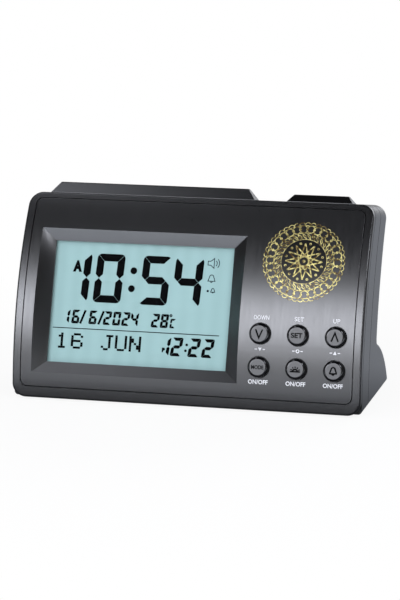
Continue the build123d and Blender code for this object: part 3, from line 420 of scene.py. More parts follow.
# Circuit boards: glass-fibre laminate under green solder mask, slightly glossy
BOARD_LAMINATE = Laminate("fibre_laminate_green", "#1F5B34", 0.35)
# Epoxy cast over the chip, glossy black
CHIP_EPOXY = Grained("epoxy_cast_black", "#101011", 0.22, mottle="#161617", grain=2.5, relief=0.01)
# Drawn steel crystal can, bright and even
CRYSTAL_STEEL = Grained("steel_drawn_can", "#BFC3C8", 0.25, metallic=1.0, grain=0.5)
# Shrunk sleeve of a capacitor, dark blue
SLEEVE_FILM = Grained("polymer_shrink_sleeve", "#1C2747", 0.3, mottle="#222F55", grain=1.0)
# Moulded nylon of the push switches, black and half matt
SWITCH_NYLON = Grained("nylon_black", "#18181A", 0.5, mottle="#202022", grain=0.7)
# Red sleeve of the stranded leads, soft and slightly glossy
LEAD_SLEEVE = Grained("vinyl_sleeve_red", "#8E1E1B", 0.4, mottle="#7C1816", grain=0.8, relief=0.002)
# Epoxy lamp, yellow-green when off
LAMP_EPOXY = Grained("epoxy_lamp_tinted", "#D9C95A", 0.2, mottle="#CDBB4A", grain=2.0)

DRESS: dict[str, Finish] = {node: finish for finish, nodes in (
    (CASE_ABS, "front_bezel mid_case rear_case battery_door"),
    (FASCIA_LACQUER, "fascia_panel"),
    (KEY_ABS, "down_key set_key up_key mode_key light_key alarm_key"),
    (BAR_ABS, "snooze_bar stop_bar"),
    (LENS_ACRYLIC, "display_window"),
    (PANE_FILM, "lcd_cell"),
    (HOLDER_PS, "display_holder"),
    (GUIDE_ACRYLIC, "light_guide"),
    (LAMP_EPOXY, "backlight_lamp"),
    (STRIP_SILICONE, "contact_strip"),
    (FOOT_RUBBER, "rubber_feet"),
    (SCREW_ZINC, "case_screws board_screws key_board_screws bar_board_screws speaker_screws"),
    (BOARD_LAMINATE, "main_board key_board bar_board"),
    (CHIP_EPOXY, "controller_chip temperature_sensor"),
    (CRYSTAL_STEEL, "quartz_crystal"),
    (SLEEVE_FILM, "capacitors"),
    (SWITCH_NYLON, "key_switches bar_switches"),
    (BASKET_STEEL, "speaker_frame"),
    (CONE_PAPER, "speaker_cone"),
    (MAGNET_FERRITE, "speaker_magnet"),
    (GASKET_FOAM, "speaker_gasket"),
    (CONTACT_NICKEL, "battery_spring battery_plate"),
    (LEAD_SLEEVE, "key_leads bar_leads speaker_leads"),
) for node in nodes.split()}


# ---- Places on the clock ----


@dataclass(frozen=True)
class FlatPlace:
    """A flat spot: its middle, and its directions to the right, up and out."""

    middle: Vector
    right: Vector
    up: Vector
    out: Vector

    def at(self, u: float, v: float, lift: float) -> Vector:
        """Point at u to the right, v up and lift out of the spot, all in millimetres."""
        return self.middle + (self.right * u + self.up * v + self.out * lift) * MM

    @classmethod
    def on(cls, node: str, toward: Vector) -> "FlatPlace":
        """Find the largest flat area of a node that faces a direction.

        Args:
            node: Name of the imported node.
            toward: Direction that the area roughly faces.

        Returns:
            A place at the middle of that area, with the clock's right as its own.
        """
        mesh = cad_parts[node].data
        # Faces are of one area where their normals agree to 0.01 and their planes to 0.1 mm
        groups: dict[tuple[float, ...], list[bpy.types.MeshPolygon]] = {}
        for polygon in mesh.polygons:
            if polygon.normal.dot(toward) > FACING:
                offset = polygon.normal.dot(polygon.center) / MM
                key = (*(round(c, 2) for c in polygon.normal), round(offset, 1))
                groups.setdefault(key, []).append(polygon)
        best = max(groups.values(), key=lambda members: sum(p.area for p in members))
        out = sum((p.normal * p.area for p in best), Vector()).normalized()
        right = Vector((1, 0, 0))
        across = (right - out * right.dot(out)).normalized()
        up = out.cross(across)
        points = [mesh.vertices[i].co for p in best for i in p.vertices]
        spans = [[point.dot(axis) for point in points] for axis in (across, up)]
        u, v = ((min(span) + max(span)) / 2 for span in spans)
        return cls(across * u + up * v + out * points[0].dot(out), across, up, out)


@dataclass(frozen=True)
class CurvedFace:
    """The clock's front, part of a cylinder that lies along X, in millimetres."""

    radius: float = 165.7
    axis_y: float = 126.749
    axis_z: float = -2.615
    base_lean: float = math.radians(1.25)

    def placing(self, x: float, arc: float) -> Placing:
        """Give the function that places points round a spot on the face.

        Args:
            x: The spot's distance to the right of the middle.
            arc: Its length along the face from the bottom edge.

        Returns:
            A function of the distance to the right, up the face and out of it.
        """
        def at(u: float, v: float, lift: float) -> Vector:
            """Place a point.

            Args:
                u: Its distance to the right of the spot.
                v: Its length up the face from the spot.
                lift: Its distance out of the face.

            Returns:
                The point, in metres.
            """
            lean = self.base_lean + (arc + v) / self.radius
            reach = self.radius + lift
            return Vector((x + u, self.axis_y - reach * math.cos(lean),
                           self.axis_z + reach * math.sin(lean))) * MM
        return at


# ---- Lines ----


def polar(radius: float, angle: float, u: float = 0.0, v: float = 0.0) -> Point:
    """Point at a radius and an angle in radians round a spot."""
    return u + radius * math.cos(angle), v + radius * math.sin(angle)


def circle(radius: float, count: int = 48, u: float = 0.0, v: float = 0.0) -> list[Point]:
    """Points round a circle."""
    return [polar(radius, math.tau * i / count, u, v) for i in range(count)]


def arc_line(radius: float, start: float, end: float, u: float, v: float,
             count: int = 10) -> list[Point]:
    """Points of an arc between two angles in degrees, in count steps."""
    return [polar(radius, math.radians(start + (end - start) * i / count), u, v)
            for i in range(count + 1)]


def turned(points: Sequence[Point], angle: float, u: float = 0.0, v: float = 0.0) -> list[Point]:
    """Points turned by an angle in radians, then moved."""
    cos, sin = math.cos(angle), math.sin(angle)
    return [(u + x * cos - y * sin, v + x * sin + y * cos) for x, y in points]


def in_steps(line: Sequence[Point], step: float, closed: bool) -> Iterator[Point]:
    """Give a line's points, with more between those that lie further apart than a step.

    Args:
        line: The points.
        step: The longest distance that is left between two.
        closed: True if the last point joins the first.

    Yields:
        The points in order.
    """
    ends = list(zip(line, line[1:])) + ([(line[-1], line[0])] if closed else [])
    for (u, v), (next_u, next_v) in ends:
        parts = math.ceil(math.dist((u, v), (next_u, next_v)) / step - 1e-6)
        for i in range(parts):
            yield u + (next_u - u) * i / parts, v + (next_v - v) * i / parts
    if not closed:
        yield line[-1]


def bell(size: float, u: float, v: float) -> Iterator[list[Point]]:
    """Draw a small bell: its body, its rim and its clapper.

    Args:
        size: Its width and height.
        u: Its middle, to the right.
        v: Its middle, up.

    Yields:
        The middle line of each stroke.
    """
    half = size / 2
    dome = arc_line(half * 0.5, 180, 0, 0, half * 0.35, 8)
    foot = half * 0.8, -half * 0.55
    yield [(u + x, v + y) for x, y in [(-foot[0], foot[1]), *dome, foot]]
    yield [(u - half * 0.95, v - half * 0.6), (u + half * 0.95, v - half * 0.6)]
    yield arc_line(half * 0.22, 190, 350, u, v - half * 0.68, 5)


# ---- Making solids ----


def skin(mesh: BMesh, rings: list[list[bmesh.types.BMVert]],
         closed: bool = False) -> None:
    """Join each ring of corners to the next by faces.

    Args:
        mesh: Mesh that gets the faces.
        rings: Rings of equal counts, where a ring of one corner is a tip.
        closed: True if the last ring joins the first.
    """
    for ring, following in zip(rings, rings[1:] + (rings[:1] if closed else [])):
        count = max(len(ring), len(following))
        for i in range(count):
            j = (i + 1) % count
            corners = (ring[i % len(ring)], ring[j % len(ring)],
                       following[j % len(following)], following[i % len(following)])
            mesh.faces.new(tuple(dict.fromkeys(corners)))


def put(name: str, data: bpy.types.ID) -> Piece:
    """Put a mesh, curve, lamp or camera into the scene.

    Args:
        name: Name of its object.
        data: What the object holds.

    Returns:
        The new object.
    """
    made = bpy.data.objects.new(name, data)
    bpy.context.scene.collection.objects.link(made)
    return made


def outward(mesh: BMesh, name: str) -> bpy.types.Mesh:
    """Turn a solid's faces outwards and store it.

    Args:
        mesh: The solid, which is freed.
        name: Name of the stored mesh.

    Returns:
        The stored mesh.
    """
    bmesh.ops.recalc_face_normals(mesh, faces=mesh.faces)
    data = bpy.data.meshes.new(name)
    mesh.to_mesh(data)
    mesh.free()
    return data


def make_piece(mesh: BMesh, name: str, finish: Finish, body: str,
               smooth: bool = False) -> Piece:
    """Turn a mesh into a finished piece of the clock.

    Args:
        mesh: The mesh, in metres, which is freed.
        name: Name of the piece.
        finish: Its surface.
        body: Body that it moves with.
        smooth: True for a round piece, shaded smooth up to its sharp edges.

    Returns:
        The new object.
    """
    bmesh.ops.remove_doubles(mesh, verts=mesh.verts, dist=WELD)
    data = outward(mesh, name)
    if smooth:
        data.shade_smooth()
        data.set_sharp_from_angle(angle=math.radians(SHARP))
    data.materials.append(finish.material())
    made = put(name, data)
    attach(made, body)
    return made


@dataclass
class Layer:
    """Thin closed solids that lie on a place, such as ink, foil or display segments."""

    place: Placing
    low: float
    high: float
    step: float = 1.5
    mesh: BMesh = field(default_factory=bmesh.new)

    def corners(self, points: Sequence[Point], height: float) -> list[bmesh.types.BMVert]:
        """New corners at one height over the place."""
        return [self.mesh.verts.new(self.place(u, v, height)) for u, v in points]

    def patch(self, outline: Sequence[Point]) -> None:
        """Add a flat patch.

        Args:
            outline: Its closed outline.
        """
        under, over = (self.corners(outline, height) for height in (self.low, self.high))
        self.mesh.faces.new(over)
        self.mesh.faces.new(under[::-1])
        skin(self.mesh, [under, over])

    def disc(self, radius: float, count: int = 72) -> None:
        """Add a round patch that follows a curved place.

        Args:
            radius: Radius of the disc.
            count: Corners round it.
        """
        rings = math.ceil(radius / self.step)
        rims = []
        for height in (self.low, self.high):
            rows = [self.corners([(0, 0)], height)]
            rows += [self.corners(circle(radius * (i + 1) / rings, count), height)
                     for i in range(rings)]
            skin(self.mesh, rows)
            rims.append(rows[-1])
        skin(self.mesh, rims)

    def ribbon(self, line: Sequence[Point], width: float, closed: bool = False) -> None:
        """Add a stroke of even width along a line, in steps short enough for a curved place.

        Args:
            line: Points of the stroke's middle line.
            width: Width of the stroke.
            closed: True if the last point joins the first.
        """
        sharpest_mitre, nothing = 0.35, 1e-9
        rows = []
        line = list(in_steps(line, self.step, closed))
        count = len(line)
        for i, (u, v) in enumerate(line):
            before = Vector(line[i - 1] if closed or i else line[0])
            after = Vector(line[(i + 1) % count] if closed or i < count - 1 else line[-1])
            here = Vector((u, v))
            first, last = (here - before), (after - here)
            first = (first if first.length > nothing else last).normalized()
            last = (last if last.length > nothing else first).normalized()
            middle = (first + last).normalized()
            side = Vector((-middle.y, middle.x)) * (
                width / 2 / max(sharpest_mitre, middle.dot(first)))
            rows.append([self.mesh.verts.new(self.place(*(here + side * s), height))
                         for s, height in ((1, self.low), (1, self.high),
                                           (-1, self.high), (-1, self.low))])
        if not closed:
            self.mesh.faces.new(rows[0])
            self.mesh.faces.new(rows[-1][::-1])
        skin(self.mesh, rows, closed)

    def words(self, text: str, u: float, v: float, height: float, width: float,
              weight: float = 0.03) -> None:
        """Add words in a plain sans letter, centred on a point.

        Args:
            text: What the words say.
            u: Middle of the words, to the right.
            v: Middle of the words, up.
            height: Height of the capitals.
            width: Width of the whole text.
            weight: How much the strokes are thickened.
        """
        curve = bpy.data.curves.new("lettering", "FONT")
        curve.body = text
        curve.extrude = 0.5
        curve.offset = weight
        curve.resolution_u = 4
        holder = put("lettering", curve)
        bpy.context.view_layer.update()
        letters = bpy.data.meshes.new_from_object(holder)
        bpy.data.objects.remove(holder)
        lows = [min(vertex.co[i] for vertex in letters.vertices) for i in (0, 1)]
        spans = [max(vertex.co[i] for vertex in letters.vertices) - lows[i] for i in (0, 1)]
        for vertex in letters.vertices:
            x = u + ((vertex.co.x - lows[0]) / spans[0] - 0.5) * width
            y = v + ((vertex.co.y - lows[1]) / spans[1] - 0.5) * height
            vertex.co = self.place(x, y, self.high if vertex.co.z > 0 else self.low)
        self.mesh.from_mesh(letters)
        bpy.data.meshes.remove(letters)
        bpy.data.curves.remove(curve)

    def piece(self, name: str, finish: Finish, body: str = HOUSING) -> Piece:
        """Turn the layer into a piece that rides on a body."""
        return make_piece(self.mesh, name, finish, body)


# ---- Display ----


class Shown(Enum):
    """Characters of a seven-segment digit, as the letters of its dark segments."""

    ZERO = "abcdef"
    ONE = "bc"
    TWO = "abged"
    FOUR = "fgbc"
    FIVE = "afgcd"
    SIX = "afgedc"
    EIGHT = "abcdefg"
    CELSIUS = "afed"


DIGITS = dict(zip("0124568C", Shown))


@dataclass(frozen=True)
class SegmentType:
    """Size and slant of one row of seven-segment digits."""

    height: float
    width: float
    stroke: float
    slant: float
    corner: float
    gap: float

    def outlines(self, shown: Shown, u: float, v: float) -> Iterator[list[Point]]:
        """Give the outline of each dark segment of a digit.

        Args:
            shown: The character.
            u: Left edge of the digit at half its height.
            v: Half its height.

        Yields:
            Closed outlines in the display's plane.
        """
        half_w, half_h, t, g, r = (self.width / 2, self.height / 2, self.stroke, self.gap,
                                   self.corner)
        bend = arc_line(r, 45, 90, half_w - r, half_h - r, 4)
        top = [(x - g, y) for x, y in bend] + [(-x + g, y) for x, y in reversed(bend)]
        top += [(-half_w + t + g, half_h - t), (half_w - t - g, half_h - t)]
        side = arc_line(r, 0, 45, half_w - r, half_h - r - g, 4)
        side += [(half_w - t, half_h - t - g), (half_w - t, t / 2 + g), (half_w - t / 2, g),
                 (half_w, t / 2 + g)]
        reach = half_w - t / 2 - 1.5 * g
        middle = [(-reach, 0), (t / 2 - reach, t / 2), (reach - t / 2, t / 2), (reach, 0),
                  (reach - t / 2, -t / 2), (t / 2 - reach, -t / 2)]
        shapes = {"a": (top, 1, 1), "d": (top, 1, -1), "b": (side, 1, 1), "c": (side, 1, -1),
                  "f": (side, -1, 1), "e": (side, -1, -1), "g": (middle, 1, 1)}
        lean = math.tan(math.radians(self.slant))
        for letter in shown.value:
            points, across, upward = shapes[letter]
            yield [(u + half_w + across * x + upward * y * lean, v + upward * y)
                   for x, y in points]


@dataclass(frozen=True)
class Row:
    """Characters of one row of the display, with each one's left edge."""

    text: str
    lefts: tuple[float, ...]
    down: float
    kind: SegmentType


MATRIX_LETTERS = {
    "1": ("..#..", ".##..", "..#..", "..#..", "..#..", "..#..", ".###."),
    "6": (".###.", "#...#", "#....", "####.", "#...#", "#...#", ".###."),
    "J": ("..###", "...#.", "...#.", "...#.", "...#.", "#..#.", ".##.."),
    "U": ("#...#", "#...#", "#...#", "#...#", "#...#", "#...#", ".###."),
    "N": ("#...#", "##..#", "##..#", "#.#.#", "#..##", "#..##", "#...#"),
}


@dataclass(frozen=True)
class Display:
    """What the pane shows, measured from the window's upper left corner."""

    window_width: float = 93.4
    window_height: float = 62.2
    lift: float = 0.03
    thickness: float = 0.05
    time_row: Row = Row("1054", (3.9, 21.4, 45.7, 62.65), 18.0,
                        SegmentType(25.1, 14.7, 3.8, 2.6, 2.3, 0.08))
    time_colon: tuple[Point, ...] = ((41.4, 13.5), (40.9, 22.7))
    time_dot: float = 1.75
    date_row: Row = Row("166202428", (5.6, 10.9, 20.0, 27.6, 32.5, 37.3, 41.8, 52.8, 57.5), 38.35,
                        SegmentType(7.0, 4.0, 1.3, 5.0, 0.6, 0.05))
    slashes: tuple[Point, ...] = ((15.4, 17.8), (25.0, 27.4))
    slash_ends: Point = (41.8, 34.9)
    slash_width: float = 1.15
    degree_row: Row = Row("C", (62.5,), 39.4, SegmentType(4.8, 2.8, 0.95, 5.0, 0.5, 0.04))
    degree: Point = (62.7, 35.4)
    degree_radius: float = 0.5
    rule_height: float = 44.4
    rule_ends: Point = (1.1, 88.3)
    rule_width: float = 0.42
    month_text: str = "16JUN"
    month_lefts: tuple[float, ...] = (3.4, 11.4, 27.3, 34.6, 42.0)
    matrix_pitch: Point = (1.25, 1.13)
    matrix_gap: float = 0.03
    matrix_top: float = 46.9
    next_row: Row = Row("1222", (57.8, 64.1, 73.2, 80.3), 51.1,
                        SegmentType(9.5, 5.6, 1.65, 6.5, 0.8, 0.06))
    next_colon: tuple[Point, ...] = ((72.0, 49.8), (71.6, 52.8))
    next_dot: float = 0.68
    morning_spot: Point = (11.7, 12.4)
    morning_size: tuple[float, float, float] = (5.9, 4.8, 0.09)
    evening_spot: Point = (60.1, 53.0)
    evening_size: tuple[float, float, float] = (2.4, 1.6, 0.08)
    outline_width: float = 0.4
    horn_spot: Point = (82.0, 7.8)
    horn: tuple[Point, ...] = ((-2.2, -1.0), (-0.8, -1.0), (1.0, -2.5), (1.0, 2.5), (-0.8, 1.0),
                               (-2.2, 1.0))
    waves: Point = (2.0, 3.2)
    wave_middle: float = 0.5
    wave_half: float = 42
    bells: tuple[tuple[float, float, float], ...] = ((4.4, 82.2, 15.6), (2.6, 83.3, 21.7))
    sign_dot: float = 0.6
    sign_dot_spot: Point = (80.7, 22.0)

    def spot(self, right: float, down: float) -> Point:
        """Turn a distance right and down from the window's corner into the pane's own."""
        return right - self.window_width / 2, self.window_height / 2 - down

    def digits(self, layer: Layer, row: Row) -> None:
        """Add a row of digits to a layer.

        Args:
            layer: Layer that gets them.
            row: The row.
        """
        for left, character in zip(row.lefts, row.text):
            for outline in row.kind.outlines(DIGITS[character], *self.spot(left, row.down)):
                layer.patch(outline)

    def time(self, layer: Layer) -> None:
        """The large time with its colon and its morning mark.

        Args:
            layer: The dark segments.
        """
        self.digits(layer, self.time_row)
        for right, down in self.time_colon:
            layer.patch(circle(self.time_dot, 24, *self.spot(right, down)))
        layer.words("A", *self.spot(*self.morning_spot), *self.morning_size)

    def date(self, layer: Layer) -> None:
        """The date and the temperature in small digits, and the rule below them.

        Args:
            layer: The dark segments.
        """
        self.digits(layer, self.date_row)
        low, high = self.slash_ends
        for left, right in self.slashes:
            layer.ribbon([self.spot(left, low), self.spot(right, high)], self.slash_width)
        layer.ribbon(circle(self.degree_radius, 12, *self.spot(*self.degree)), self.degree_radius,
                     closed=True)
        self.digits(layer, self.degree_row)
        layer.ribbon([self.spot(end, self.rule_height) for end in self.rule_ends],
                     self.rule_width)

    def month(self, layer: Layer) -> None:
        """Day and month in square dots.

        Args:
            layer: The dark segments.
        """
        across, down = self.matrix_pitch
        wide, high = across - self.matrix_gap, down - self.matrix_gap
        for left, character in zip(self.month_lefts, self.month_text):
            for row, dots in enumerate(MATRIX_LETTERS[character]):
                for column, dot in enumerate(dots):
                    if dot == "#":
                        u, v = self.spot(left + column * across, self.matrix_top + row * down)
                        layer.patch([(u, v - high), (u + wide, v - high), (u + wide, v), (u, v)])

    def next_time(self, layer: Layer) -> None:
        """The second, smaller time at the lower right.

        Args:
            layer: The dark segments.
        """
        self.digits(layer, self.next_row)
        for right, down in self.next_colon:
            layer.patch(circle(self.next_dot, 16, *self.spot(right, down)))
        layer.words("P", *self.spot(*self.evening_spot), *self.evening_size)

    def signs(self, layer: Layer) -> None:
        """Thin signs right of the time: a loudspeaker, a bell, and a small bell with a dot.

        Args:
            layer: The faint segments.
        """
        u, v = self.spot(*self.horn_spot)
        layer.ribbon([(u + x, v + y) for x, y in self.horn], self.outline_width, closed=True)
        for radius in self.waves:
            layer.ribbon(arc_line(radius, -self.wave_half, self.wave_half, u + self.wave_middle, v,
                                  8), self.outline_width)
        for size, right, down in self.bells:
            for line in bell(size, *self.spot(right, down)):
                layer.ribbon(line, self.outline_width)
        layer.patch(circle(self.sign_dot, 14, *self.spot(*self.sign_dot_spot)))

    def build(self) -> list[Piece]:
        """Make the dark and the faint segments on the pane's front.

        Returns:
            The two pieces.
        """
        pane = FlatPlace.on("lcd_cell", Vector((0, -0.95, 0.32)))
        dark, faint = (Layer(pane.at, self.lift, self.lift + self.thickness) for _ in range(2))
        for part in (self.time, self.date, self.month, self.next_time):
            part(dark)
        self.signs(faint)
        return [dark.piece("display_segments", SEGMENT_DARK),
                faint.piece("display_signs", SEGMENT_FAINT)]


# ---- Keys and the prints round them ----


class Mark(Enum):
    """What is printed on a key's flat top."""

    DOWN = "down_key"
    SET = "set_key"
    UP = "up_key"
    MODE = "mode_key"
    LIGHT = "light_key"
    BELL = "alarm_key"


@dataclass(frozen=True)
class KeyMarks:
    """Satin tops of the six keys, and the signs on them in dark ink."""

    top_radius: float = 3.9
    top_depth: float = 0.08
    stroke: float = 0.75
    arrow_half: Point = (1.7625, 2.115)
    lamp_radius: float = 1.2
    lamp_half: float = 2.6
    ray_start: float = 1.8
    rays: tuple[float, ...] = (25, 58, 90, 122, 155)
    ray_share: float = 0.9
    bell_size: float = 4.2
    bell_rise: float = 0.1
    set_size: tuple[float, float, float] = (2.6, 5.9, 0.035)
    mode_size: tuple[float, float, float] = (2.0, 6.3, 0.03)
    lift: float = 0.005
    thickness: float = 0.02

    def lines(self, mark: Mark) -> Iterator[tuple[list[Point], float]]:
        """Give the strokes of a key's sign.

        Args:
            mark: Which sign, one that isn't a word.

        Yields:
            Each stroke's middle line and width.
        """
        if mark in (Mark.DOWN, Mark.UP):
            across, up = self.arrow_half
            up = up if mark is Mark.UP else -up
            yield [(-across, -up), (0, up), (across, -up)], self.stroke
        elif mark is Mark.LIGHT:
            foot, half = -self.lamp_radius, self.lamp_half
            yield [(-half, foot), (half, foot)], self.stroke
            yield arc_line(self.lamp_radius, 0, 180, 0, foot), self.stroke
            for angle in self.rays:
                yield (turned([(self.ray_start, 0), (half, 0)], math.radians(angle), 0, foot),
                       self.stroke * self.ray_share)
        else:
            for line in bell(self.bell_size, 0, self.bell_rise):
                yield line, self.stroke

    def build(self) -> list[Piece]:
        """Make all six tops and signs, each on its own key.

        Returns:
            The twelve pieces.
        """
        made = []
        for mark in Mark:
            key = FlatPlace.on(mark.value, Vector((0, -0.98, 0.2)))
            top = Layer(key.at, -self.top_depth, self.lift + self.thickness, self.top_radius)
            top.disc(self.top_radius)
            sign = Layer(key.at, top.high + self.lift, top.high + self.lift + self.thickness)
            if mark is Mark.SET:
                sign.words("SET", 0, 0, *self.set_size)
            elif mark is Mark.MODE:
                sign.words("MODE", 0, 0, *self.mode_size)
            else:
                for line, width in self.lines(mark):
                    sign.ribbon(line, width)
            made += [top.piece(f"{mark.value}_top", KEY_TOP_ABS, mark.value),
                     sign.piece(f"{mark.value}_sign", DARK_INK, mark.value)]
        return made


@dataclass(frozen=True)
class FasciaPrint:
    """White words and small marks printed round the keys."""

    columns: tuple[float, float, float] = (38.4, 57.5, 76.3)
    upper_words: tuple[tuple[str, float], ...] = (("DOWN", 7.8), ("SET", 4.8), ("UP", 3.5))
    upper_arc: float = 46.85
    middle_arc: float = 31.0
    lower_arc: float = 14.7
    capitals: float = 2.1
    switch_capitals: float = 2.25
    switch_width: float = 10.0
    switch_shift: float = 0.4
    weight: float = 0.012
    stroke: float = 0.42
    dash: Point = (1.45, 2.65)
    arrow_half: float = 0.9
    arrow_foot: float = 0.8
    ring: float = 0.75
    lift: float = 0.005
    thickness: float = 0.03
    face: CurvedFace = CurvedFace()

    def build(self) -> list[Piece]:
        """Make the prints as one layer of ink.

        Returns:
            The one piece.
        """
        ink = Layer(self.face.placing(0, 0), self.lift, self.lift + self.thickness)
        for x, (text, width) in zip(self.columns, self.upper_words):
            ink.words(text, x, self.upper_arc, self.capitals, width, self.weight)
            ink.words("ON/OFF", x - self.switch_shift, self.lower_arc, self.switch_capitals,
                      self.switch_width, self.weight * 2)
        for x, sign in zip(self.columns, (-1, 0, 1)):
            for side in (-1, 1):
                ink.ribbon([(x + side * end, self.middle_arc) for end in self.dash], self.stroke)
            if sign:
                foot = self.middle_arc - sign * self.arrow_foot
                ink.patch([(x - self.arrow_half, foot), (x + self.arrow_half, foot),
                           (x, self.middle_arc + sign * self.arrow_half)][::sign])
            else:
                ink.ribbon(circle(self.ring, 16, x, self.middle_arc), self.stroke, closed=True)
        return [ink.piece("fascia_print", WHITE_INK)]


# ---- Rosette ----


@dataclass(frozen=True)
class Rosette:
    """A stamped foil ornament: rings of scallops, links and leaves round a twelve-fold star."""

    x: float = 57.2
    arc: float = 76.2
    rules: tuple[float, float, float] = (19.1, 15.0, 11.6)
    rule_share: float = 0.9
    scallops_radius: float = 19.3
    scallop_count: int = 44
    scallop_half: float = 85
    links_radius: float = 17.1
    link: float = 1.95
    link_stud: float = 0.5
    link_count: int = 30
    leaves_outer: float = 14.7
    leaves_inner: float = 12.0
    leaf_count: int = 36
    leaf_lean: float = 0.8
    leaf_half: float = 0.3
    disc: float = 11.2
    star: float = 9.4
    star_skip: int = 5
    star_share: float = 1.6
    star_stud: float = 0.45
    stud_out: float = 0.1
    hub: float = 0.8
    folds: int = 12
    stroke: float = 0.36
    lift: float = 0.004
    thickness: float = 0.03
    face: CurvedFace = CurvedFace()

    def chain(self, layer: Layer, radius: float, link: float, count: int,
              offset: float = 0.0) -> None:
        """Add a ring of round links.

        Args:
            layer: Foil layer.
            radius: Radius of the ring.
            link: Radius of each link.
            count: How many there are.
            offset: How far the first lies round from the right, in steps.
        """
        for i in range(count):
            spot = polar(radius, math.tau * (i + offset) / count)
            layer.ribbon(circle(link, 16, *spot), self.stroke, closed=True)

    def scallops(self, layer: Layer) -> None:
        """Add a rim of half circles that open inwards.

        Args:
            layer: Foil layer.
        """
        size = math.pi * self.scallops_radius / self.scallop_count
        for i in range(self.scallop_count):
            angle = math.tau * i / self.scallop_count
            turn = math.degrees(angle)
            layer.ribbon(arc_line(size, turn - self.scallop_half, turn + self.scallop_half,
                                  *polar(self.scallops_radius, angle), 8), self.stroke)

    def leaves(self, layer: Layer) -> None:
        """Add a ring of pointed leaves, whose tips lean round.

        Args:
            layer: Foil layer.
        """
        step = math.tau / self.leaf_count
        half, inner, outer = step * self.leaf_half, self.leaves_inner, self.leaves_outer
        for i in range(self.leaf_count):
            angle = i * step
            tip = angle + self.leaf_lean * step
            middle, waist = (angle + tip) / 2, (inner + outer) / 2
            corners = [(inner, angle), (waist, middle + half), (outer, tip), (waist, middle - half)]
            layer.ribbon([polar(*corner) for corner in corners], self.stroke, closed=True)

    def border(self, layer: Layer) -> None:
        """Add the wide ring of filigree.

        Args:
            layer: Foil layer.
        """
        for radius in self.rules:
            layer.ribbon(circle(radius, 96), self.stroke * self.rule_share, closed=True)
        self.scallops(layer)
        self.chain(layer, self.links_radius, self.link, self.link_count)
        self.chain(layer, self.links_radius, self.link_stud, self.link_count, 0.5)
        self.leaves(layer)

    def centre(self, layer: Layer) -> None:
        """Add the star with its studs.

        Args:
            layer: Foil layer.
        """
        points = [polar(self.star, math.tau * self.star_skip * i / self.folds)
                  for i in range(self.folds)]
        for start, end in zip(points, points[1:] + points[:1]):
            layer.ribbon([start, end], self.stroke * self.star_share)
        self.chain(layer, self.star + self.stud_out, self.star_stud, self.folds, 0.5)
        layer.patch(circle(self.hub, 20))

    def build(self) -> list[Piece]:
        """Make the dark disc and the foil on it.

        Returns:
            The two pieces.
        """
        spot = self.face.placing(self.x, self.arc)
        disc = Layer(spot, self.lift, self.lift + self.thickness / 2)
        disc.disc(self.disc)
        foil = Layer(spot, self.lift + self.thickness, self.lift + 2 * self.thickness)
        self.border(foil)
        self.centre(foil)
        # The foil's material carries random patches of painted reflection, pale gold to dark bronze
        return [disc.piece("rosette_disc", DISC_BLACK), foil.piece("rosette_foil", GOLD_FOIL_WITH_PAINTED_REFLECTIONS)]


# ---- Back of the clock ----


